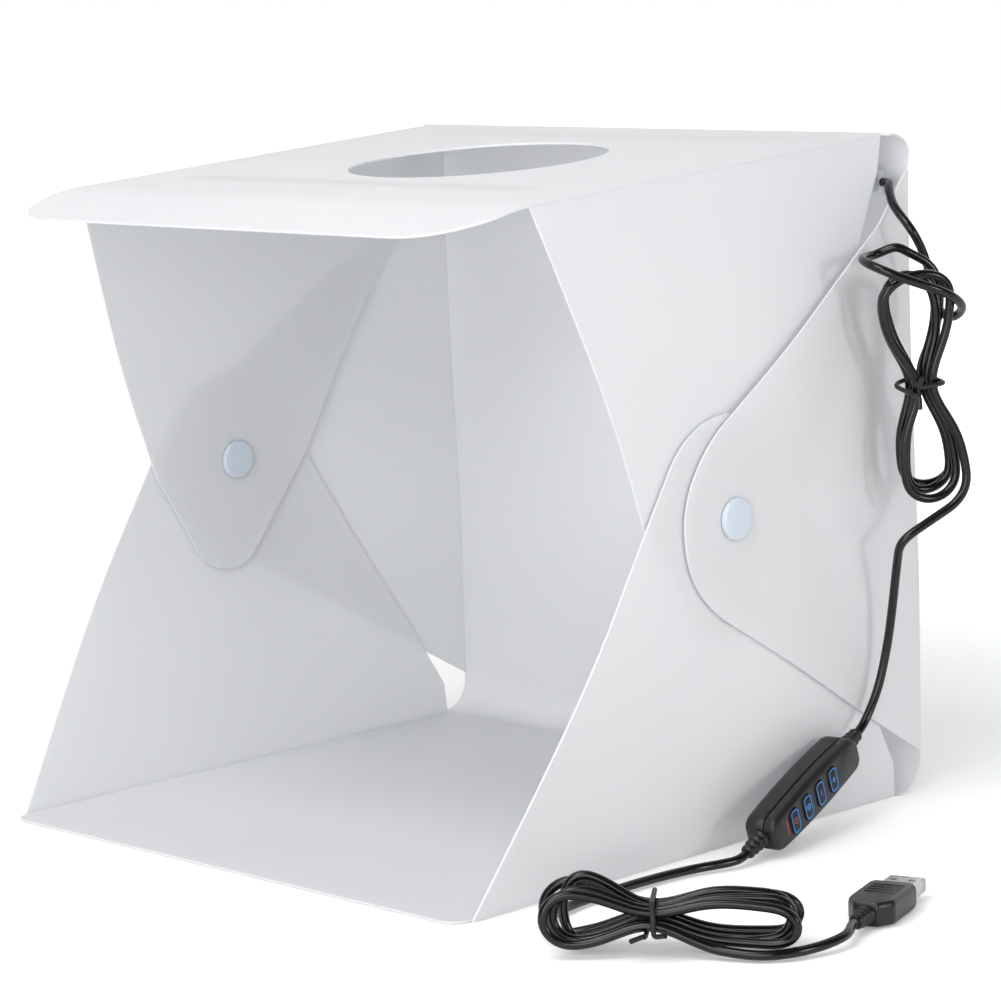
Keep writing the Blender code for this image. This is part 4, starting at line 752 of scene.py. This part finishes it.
# radius and height: a low crown, a rolled rim and the hollow for the magnet
profile = [(0.0, 0.0019), (0.0035, 0.00186), (0.0056, 0.00176)]
for step in range(9):
    angle = math.pi / 2 * step / 8
    profile.append((0.0062 + 0.0008 * math.sin(angle), 0.0009 + 0.0008 * math.cos(angle)))
profile += [(0.0070, 0.0001), (0.0069, 0.0), (0.0053, 0.0), (0.0053, 0.0013), (0.0, 0.0013)]
cap_bulge = wall_offset(CLOSURE_DEPTH, CLOSURE_HEIGHT)
for side, word in ((-1.0, "left"), (1.0, "right")):
    for where, carrier, place, turn in (("outer", "back_wing_", OUTER + cap_bulge + GLUE, 1),
                                        ("inner", "upper_wing_", INNER + cap_bulge - SHEET - GLUE, -1)):
        base = at(side * place, REAR - CLOSURE_DEPTH, CLOSURE_HEIGHT)
        facing = Matrix.Rotation(turn * side * math.pi / 2, 4, "Y")
        disc = turned(f"closure_{where}_{word}", profile, base @ facing, cap_skin)
        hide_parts(f"cap_{where}_{word}")
        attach(disc, carrier + word)
        bpy.data.objects[f"magnet_{where}_{word}"].material_slots[0].material = nickel


# The light bars: white-masked boards with a row of white chips and small resistors, on foam tape.
# They hang under the top. A link wire joins them, and a black lead runs from the rear one to the clip.
BAR_LENGTH = 0.172
BAR_WIDTH = 0.010
BOARD = 0.0010
TAPE = 0.0004
LINK_WIRE = 0.0016
CHIPS = 18
RESISTORS = 6

# screened solder mask: an even, slightly glossy white film over the laminate
mask = surface("white solder mask on glass laminate", ["#E4E6E2", "#EFF0ED"], 0.002, detail=3.0,
               Roughness=0.30, IOR=1.52)
# the yellow of a chip is phosphor set in clear silicone; it shows as a matt window in a white case
phosphor = surface("phosphor in clear silicone", ["#DDBE4E", "#E8CC66"], 0.0003, Roughness=0.25, IOR=1.41)
# fired ceramic under a black glaze: dark specks that hardly shine
ceramic = surface("dark resistor ceramic", ["#26272B"], 0.0003, (0.2, 0.00005), Roughness=0.40)
# foamed polyethylene: matt white, with its cut cells showing
foam, tree, place = new_material("white foam tape")
cells = add(tree, "ShaderNodeTexVoronoi", [("Vector", place)], Scale=1 / 0.0004)
bump = add(tree, "ShaderNodeBump", [("Height", cells.outputs["Distance"])], Strength=0.4, Distance=0.0001)
skin = add(tree, "ShaderNodeBsdfPrincipled", [("Normal", bump.outputs[0])], Base_Color=linear("#E6E6E1"),
           Roughness=0.85)
add(tree, "ShaderNodeOutputMaterial", [("Surface", skin.outputs[0])])
# extruded PVC on thin wire: a smooth white with slow waves
white_wire = surface("white PVC hook-up wire", ["#E2E2E0"], 0.003, (0.2, 0.0001), Roughness=0.35)


def block(name, size, matrix, material, edge=0.0001):
    """A small block with eased edges, its base at the matrix's origin."""
    work = bmesh.new()
    bmesh.ops.create_cube(work, size=1.0)
    bmesh.ops.scale(work, vec=size, verts=work.verts[:])
    bmesh.ops.translate(work, vec=(0.0, 0.0, size[2] / 2), verts=work.verts[:])
    bmesh.ops.bevel(work, geom=work.edges[:], offset=edge, segments=2, profile=0.5, affect="EDGES")
    return finished(name, work, [material], matrix, 40.0)


def joined(name, pieces):
    """One object from several small ones, with their materials kept."""
    materials = []
    work = bmesh.new()
    for piece in pieces:
        material = piece.data.materials[0]
        if material not in materials:
            materials.append(material)
        before = len(work.faces)
        work.from_mesh(piece.data)
        work.faces.ensure_lookup_table()
        for face in work.faces[before:]:
            face.material_index = materials.index(material)
        bpy.data.objects.remove(piece, do_unlink=True)
    return finished(name, work, materials, sharp=40.0)


for depth, word in ((0.158, "front"), (0.036, "rear")):
    below = (SHEET + GLUE + TAPE + GLUE) / math.cos(TOP_SLOPE)
    bar = at(0.0, REAR - depth, top_height(depth) - below) @ sloped @ Matrix.Rotation(math.pi, 4, "X")
    bits = [block("board", (BAR_LENGTH, BAR_WIDTH, BOARD), bar, mask)]
    for k in range(CHIPS):
        x = (k + 0.5) * BAR_LENGTH / CHIPS - BAR_LENGTH / 2
        bits.append(block("chip", (0.0035, 0.0028, 0.00075), bar @ at(x, 0.0012, BOARD), mask, 0.00015))
        window = bar @ at(x, 0.0012, 0.00165)
        bits.append(block("window", (0.0026, 0.0020, 0.00014), window, phosphor, 0.00005))
    for k in range(RESISTORS):
        x = (k + 0.5) * BAR_LENGTH / RESISTORS - BAR_LENGTH / 2
        resistor = bar @ at(x, -0.0030, BOARD)
        bits.append(block("resistor", (0.0013, 0.00125, 0.0005), resistor, ceramic, 0.00005))
        for end in (-0.0008, 0.0008):
            tip = bar @ at(x + end, -0.0030, BOARD)
            bits.append(block("tip", (0.0004, 0.00125, 0.0005), tip, nickel, 0.00005))
    board = joined("light_board_" + word, bits)
    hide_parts("led_board_" + word)
    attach(board, "top")
    bpy.data.objects["led_tape_" + word].material_slots[0].material = foam

hung = (SHEET + GLUE + LINK_WIRE / 2) / math.cos(TOP_SLOPE)
wire = [Vector((-0.0688, REAR - depth, top_height(depth) - hung))
        for depth in np.linspace(0.1527, 0.0413, 30)]
link = tube("link_wire_run", wire, LINK_WIRE, 4, white_wire)
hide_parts("board_link_wire")
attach(link, "top")

lead_line = eased(smooth_line([
    (0.0863, 0.0796, 0.22975), (0.0894, 0.0796, 0.22975), (0.09117, 0.08925, 0.22975),
    (0.09117, 0.10275, 0.225), (0.08848, 0.11175, 0.21682), (0.0922, 0.11175, 0.2162)], ROUTE_STEP),
    0.001, EASING)
lead = settle(tube("inner_lead_run", lead_line, CORD, 5, jacket))
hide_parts("lead_inner")
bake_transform(lead)


# The cord clip: a small block moulded in milky polypropylene, stuck in the corner of the back,
# with a saddle over the cord that grips it.
CLIP_BASE = (0.0110, 0.0085, 0.0024)
CLIP_SADDLE = (0.0078, 0.0070, 0.0032)
# moulded, not frosted: smoother and a little glossier than the sheet
milky = surface("moulded milky polypropylene", ["#E4E7EA"], 0.003, (0.15, 0.0001), Roughness=0.30, IOR=1.49)
clip_low, clip_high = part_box("cord_clip")
middle = (Vector(clip_low) + Vector(clip_high)) / 2
stand = at(middle.x, clip_high[1], middle.z) @ Matrix.Rotation(math.pi / 2, 4, "X")
clip = joined("clip_block", [block("base", CLIP_BASE, stand, milky, 0.0006),
                             block("saddle", CLIP_SADDLE, stand @ at(0.0, 0.0, 0.0023), milky, 0.0012)])
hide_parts("cord_clip")
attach(clip, "back")


# The dimmer: a slim case of two black ABS shells with a parting groove and a bevelled face.
# Four soft keys stand in its windows, outlined in blue ink, and a red lens bar lies beside the lowest.
CASE_WIDTH = 0.0145
CASE_CORNER = 0.0045
CASE_SLIMMING = 0.20
KEY_PITCH = 0.0087
FIRST_KEY = -0.01655
KEY = (0.0050, 0.0086, 0.0017)
KEY_WINDOW = (0.0055, 0.0091, 0.0018)
LENS_WINDOW = (0.0016, 0.0066, 0.0004)
INDICATOR = FIRST_KEY - 0.0045

# moulded ABS, half dull, its gloss broken by the spark eroded texture of the mould;
# the texture is about 0.15 mm, drawn at 0.4 mm so that it shows
abs_skin = surface("spark eroded black ABS", ["#131318"], 0.0004, (0.22, 0.00008), (0.34, 0.44), 3.0,
                   IOR=1.53)


def shell_rings(length, width, corner, profile, slim=0.0):
    """Rings of a rounded box: each inset from the full outline at its height, slimmer towards its ends."""
    rings = []
    more = 24 if slim else 0
    for inset, height in profile:
        outline = oblong(length - 2 * inset, width - 2 * inset, max(corner - inset, 0.0004), 8, more)
        rings.append([(p.x, p.y * (1 - slim * (2 * p.x / length) ** 2), height) for p in outline])
    return rings


def carve(piece, cutters):
    """Take cutters out of a body and make it a plain mesh."""
    for cutter in cutters:
        tool = piece.modifiers.new(cutter.name, "BOOLEAN")
        tool.operation = "DIFFERENCE"
        tool.solver = "EXACT"
        tool.object = cutter
    made = settle(piece)
    for cutter in cutters:
        bpy.data.objects.remove(cutter, do_unlink=True)
    made.data.shade_smooth()
    made.data.set_sharp_from_angle(angle=math.radians(35.0))
    return made


# inset and height of each ring, from the back of the case to its face
tub_profile = [(0.0032, 0.0), (0.0015, 0.0002), (0.0007, 0.0007), (0.0002, 0.0016), (0.0, 0.0028),
               (0.0, 0.0073), (0.0002, 0.00755), (0.0005, 0.0076), (0.0005, 0.0081)]
lid_profile = [(0.0005, 0.0080), (0.0002, 0.00805), (0.0, 0.0083), (0.0, 0.0107), (0.00015, 0.0112),
               (0.00085, 0.01225), (0.0013, CASE_HEIGHT)]
tub, lid = [lofted(name, shell_rings(CASE_LENGTH, CASE_WIDTH, CASE_CORNER, profile, CASE_SLIMMING),
                   abs_skin, DIMMER_FRAME)
            for name, profile in (("dimmer_tub", tub_profile), ("dimmer_lid", lid_profile))]
KEYS = [(word, FIRST_KEY + KEY_PITCH * k)
        for k, word in enumerate(("button_power", "button_tone", "button_dimmer", "button_brighter"))]
cutters = [lofted(word + "_window", shell_rings(*KEY_WINDOW, [(0.0, 0.0116), (0.0, 0.0140)]), abs_skin,
                  DIMMER_FRAME @ at(place, 0.0, 0.0)) for word, place in KEYS]
cutters.append(lofted("indicator_window", shell_rings(*LENS_WINDOW, [(0.0, 0.0118), (0.0, 0.0140)]),
                      abs_skin, DIMMER_FRAME @ at(INDICATOR, 0.0, 0.0)))
lid = carve(lid, cutters)
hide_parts("dimmer_case_bottom")
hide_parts("dimmer_case_top")
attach(tub, "back_wing_right")
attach(lid, "back_wing_right")

# silicone rubber keys: dull, a little softer and darker than the case
silicone = surface("moulded black silicone", ["#141418"], 0.0005, (0.15, 0.00008), Roughness=0.48, IOR=1.43)
# pad-printed ink: a flat satin film, a little uneven in its colour
blue_ink = surface("pad printed blue ink", ["#3488DC", "#2E7BC7"], 0.0006, Roughness=0.42)
red_ink = surface("pad printed red ink", ["#A04038", "#903932"], 0.0006, Roughness=0.42)
STROKE = 0.00045
OUTLINE_STROKE = 0.00042
INK = 0.00006


def printed(name, lines, width, matrix, material, body, closed=True):
    """Flat printed strokes that follow lines of points, a film of ink on a key's top."""
    work = bmesh.new()
    for line in lines:
        line = [Vector(point) for point in line]
        count = len(line)
        rims = []
        for k, point in enumerate(line):
            before = line[k - 1] if closed or k else point
            after = line[(k + 1) % count] if closed or k < count - 1 else point
            run = (after - before).normalized()
            off = Vector((-run.y, run.x)) * width / 2
            rims.append([work.verts.new((*(point + off * s), z)) for s in (-1, 1) for z in (0.0, INK)])
        for a, b in zip(rims, rims[1:] + rims[:closed]):
            for i, j in ((0, 1), (1, 3), (3, 2), (2, 0)):
                work.faces.new((a[i], a[j], b[j], b[i]))
        if not closed:
            for a in (rims[0], rims[-1]):
                work.faces.new((a[0], a[1], a[3], a[2]))
    bmesh.ops.recalc_face_normals(work, faces=work.faces[:])
    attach(finished(name, work, [material], matrix), body)


def arc(radius, first, last, steps=20):
    """Points on an arc about the origin, from one angle to another in degrees."""
    turns = [math.radians(first + (last - first) * k / steps) for k in range(steps + 1)]
    return [(radius * math.cos(turn), radius * math.sin(turn)) for turn in turns]


# plain signs: a broken ring, a halved ring, a minus and a plus
across_stroke = [(0.0, -0.0010), (0.0, 0.0010)]
ICONS = {
    "button_power": [arc(0.0010, 40, 320), [(0.0003, 0.0), (0.0013, 0.0)]],
    "button_tone": [arc(0.0010, 0, 360, 24), [(-0.0009, 0.0), (0.0009, 0.0)]],
    "button_dimmer": [across_stroke],
    "button_brighter": [across_stroke, [(-0.0010, 0.0), (0.0010, 0.0)]],
}
key_profile = [(-0.0004, 0.0103), (-0.0004, 0.0109), (0.0, 0.0110), (0.0, 0.0127), (0.0001, 0.01295),
               (0.00035, 0.0131)]
for word, place in KEYS:
    spot = DIMMER_FRAME @ at(place, 0.0, 0.0)
    key = lofted(word + "_cap", shell_rings(*KEY, key_profile), silicone, spot)
    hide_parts(word)
    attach(key, word)
    top = spot @ at(0.0, 0.0, 0.01308)
    printed(word + "_outline", [oblong(0.0041, 0.0077, 0.0013, 6)], OUTLINE_STROKE, top, blue_ink, word)
    colour = red_ink if word == "button_power" else blue_ink
    printed(word + "_icon", ICONS[word], STROKE, top, colour, word, closed=False)

# tinted acrylic: clear red over the small lamp under it, dark while it is off
lens_red = surface("red acrylic lens", ["#6E2420", "#83302A"], 0.002, detail=1.0, Roughness=0.18, IOR=1.49)
bpy.data.objects["dimmer_indicator"].material_slots[0].material = lens_red
# screened solder mask: a deep green film that shows the glass weave under it
laminate = surface("green solder mask on glass laminate", ["#1B5A35"], 0.0005, (0.2, 0.00005), Roughness=0.35)
bpy.data.objects["dimmer_board"].material_slots[0].material = laminate


# The plug: black vinyl moulded round the contacts, flat, narrower at the cord, with grip ridges.
# Its shell is folded from nickel-plated steel, with two square windows in each broad face.
GRIP_LENGTH = 0.027
GRIP_SIDE = 0.00775
SHELL_LENGTH = 0.0120
SHELL_WIDTH = 0.0120
SHELL_HEIGHT = 0.0045
SHELL_WALL = 0.0004
TONGUE = 0.0018

# moulded vinyl: half glossy black with the fine skin of its mould
vinyl = surface("moulded black vinyl", ["#101014"], 0.0005, (0.18, 0.00008), Roughness=0.34, IOR=1.54)
# plated sheet steel: bright, its gloss a little uneven from the folding
steel = surface("folded nickel plated steel", ["#C8C7C5"], 0.0009, (0.10, 0.00005), (0.20, 0.34), 3.0,
                Metallic=1.0)

hand = rounded([(0.0, -0.0040), (0.0050, -GRIP_SIDE), (0.0250, -GRIP_SIDE), (GRIP_LENGTH, -0.0066),
                (GRIP_LENGTH, 0.0066), (0.0250, GRIP_SIDE), (0.0050, GRIP_SIDE), (0.0, 0.0040)],
               (0.0015, 0.0040, 0.0010, 0.0010, 0.0010, 0.0010, 0.0040, 0.0015), 6)
rings = []
for inset, height in ((0.0016, -0.0040), (0.0007, -0.0038), (0.0002, -0.0031), (0.0, -0.0020),
                      (0.0, 0.0020), (0.0002, 0.0031), (0.0007, 0.0038), (0.0016, 0.0040)):
    narrow = 1 - inset / GRIP_SIDE
    half = GRIP_LENGTH / 2
    rings.append([((p.x - half) * (1 - inset / half) + half, p.y * narrow, height) for p in hand])
overmould = lofted("plug_hand_grip", rings, vinyl, PLUG_FRAME)
ridges = []
for turn in (0.0, math.pi):
    face = PLUG_FRAME @ Matrix.Rotation(turn, 4, "X")
    for k in range(4):
        base = face @ at(0.0130 + 0.0028 * k, 0.0, 0.0037)
        ridges.append(block("ridge", (0.0011, 0.0102, 0.0006), base, vinyl, 0.00028))
grip = joined("plug_grip_ridges", ridges)
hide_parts("plug_overmold")
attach(overmould, "back_wing_right")
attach(grip, "back_wing_right")

near = GRIP_LENGTH + SEAT_GAP
mouth = near + SHELL_LENGTH


def shell_ring(x, inset, corner):
    """The shell's cross-section at one place along the plug."""
    section = oblong(SHELL_WIDTH - 2 * inset, SHELL_HEIGHT - 2 * inset, corner, 5)
    return [(x, p.x, p.y) for p in section]


rings = [shell_ring(x, inset, 0.0006) for x, inset in ((near, 0.0), (mouth - 0.0003, 0.0), (mouth, 0.00012))]
shell = lofted("plug_shell_tube", rings, steel, PLUG_FRAME)
bore = [shell_ring(x, SHELL_WALL, 0.0003) for x in (near - 0.002, mouth + 0.002)]
windows = [lofted("bore", bore, steel, PLUG_FRAME)]
for side in (-0.0030, 0.0030):
    spot = PLUG_FRAME @ at(near + 0.0072, side, -0.006)
    windows.append(block("window", (0.0022, 0.0022, 0.012), spot, steel, 0.0002))
shell = carve(shell, windows)
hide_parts("plug_shell")
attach(shell, "back_wing_right")

# glass filled polymer: an even, half dull white
polymer = surface("moulded white glass filled polymer", ["#E5E5E0"], 0.001, (0.2, 0.00005), Roughness=0.42)
# flashed gold: warm and bright, dulled a little by wear
gold = surface("gold flash on copper contacts", ["#D6B25A"], 0.0008, gloss=(0.18, 0.32), Metallic=1.0)
tongue_under = SHELL_HEIGHT / 2 - SHELL_WALL - SEAT_GAP - TONGUE
under = PLUG_FRAME @ at(near + 0.0054, 0.0, tongue_under)
bits = [block("tongue", (0.0108, 0.0100, TONGUE), under, polymer, 0.0002)]
for k in range(4):
    spot = under @ at(0.0, (k - 1.5) * 0.0023, 0.0) @ Matrix.Rotation(math.pi, 4, "X")
    bits.append(block("contact", (0.0070, 0.0010, 0.0002), spot, gold, 0.00005))
tongue = joined("plug_tongue_body", bits)
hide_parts("plug_tongue")
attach(tongue, "back_wing_right")
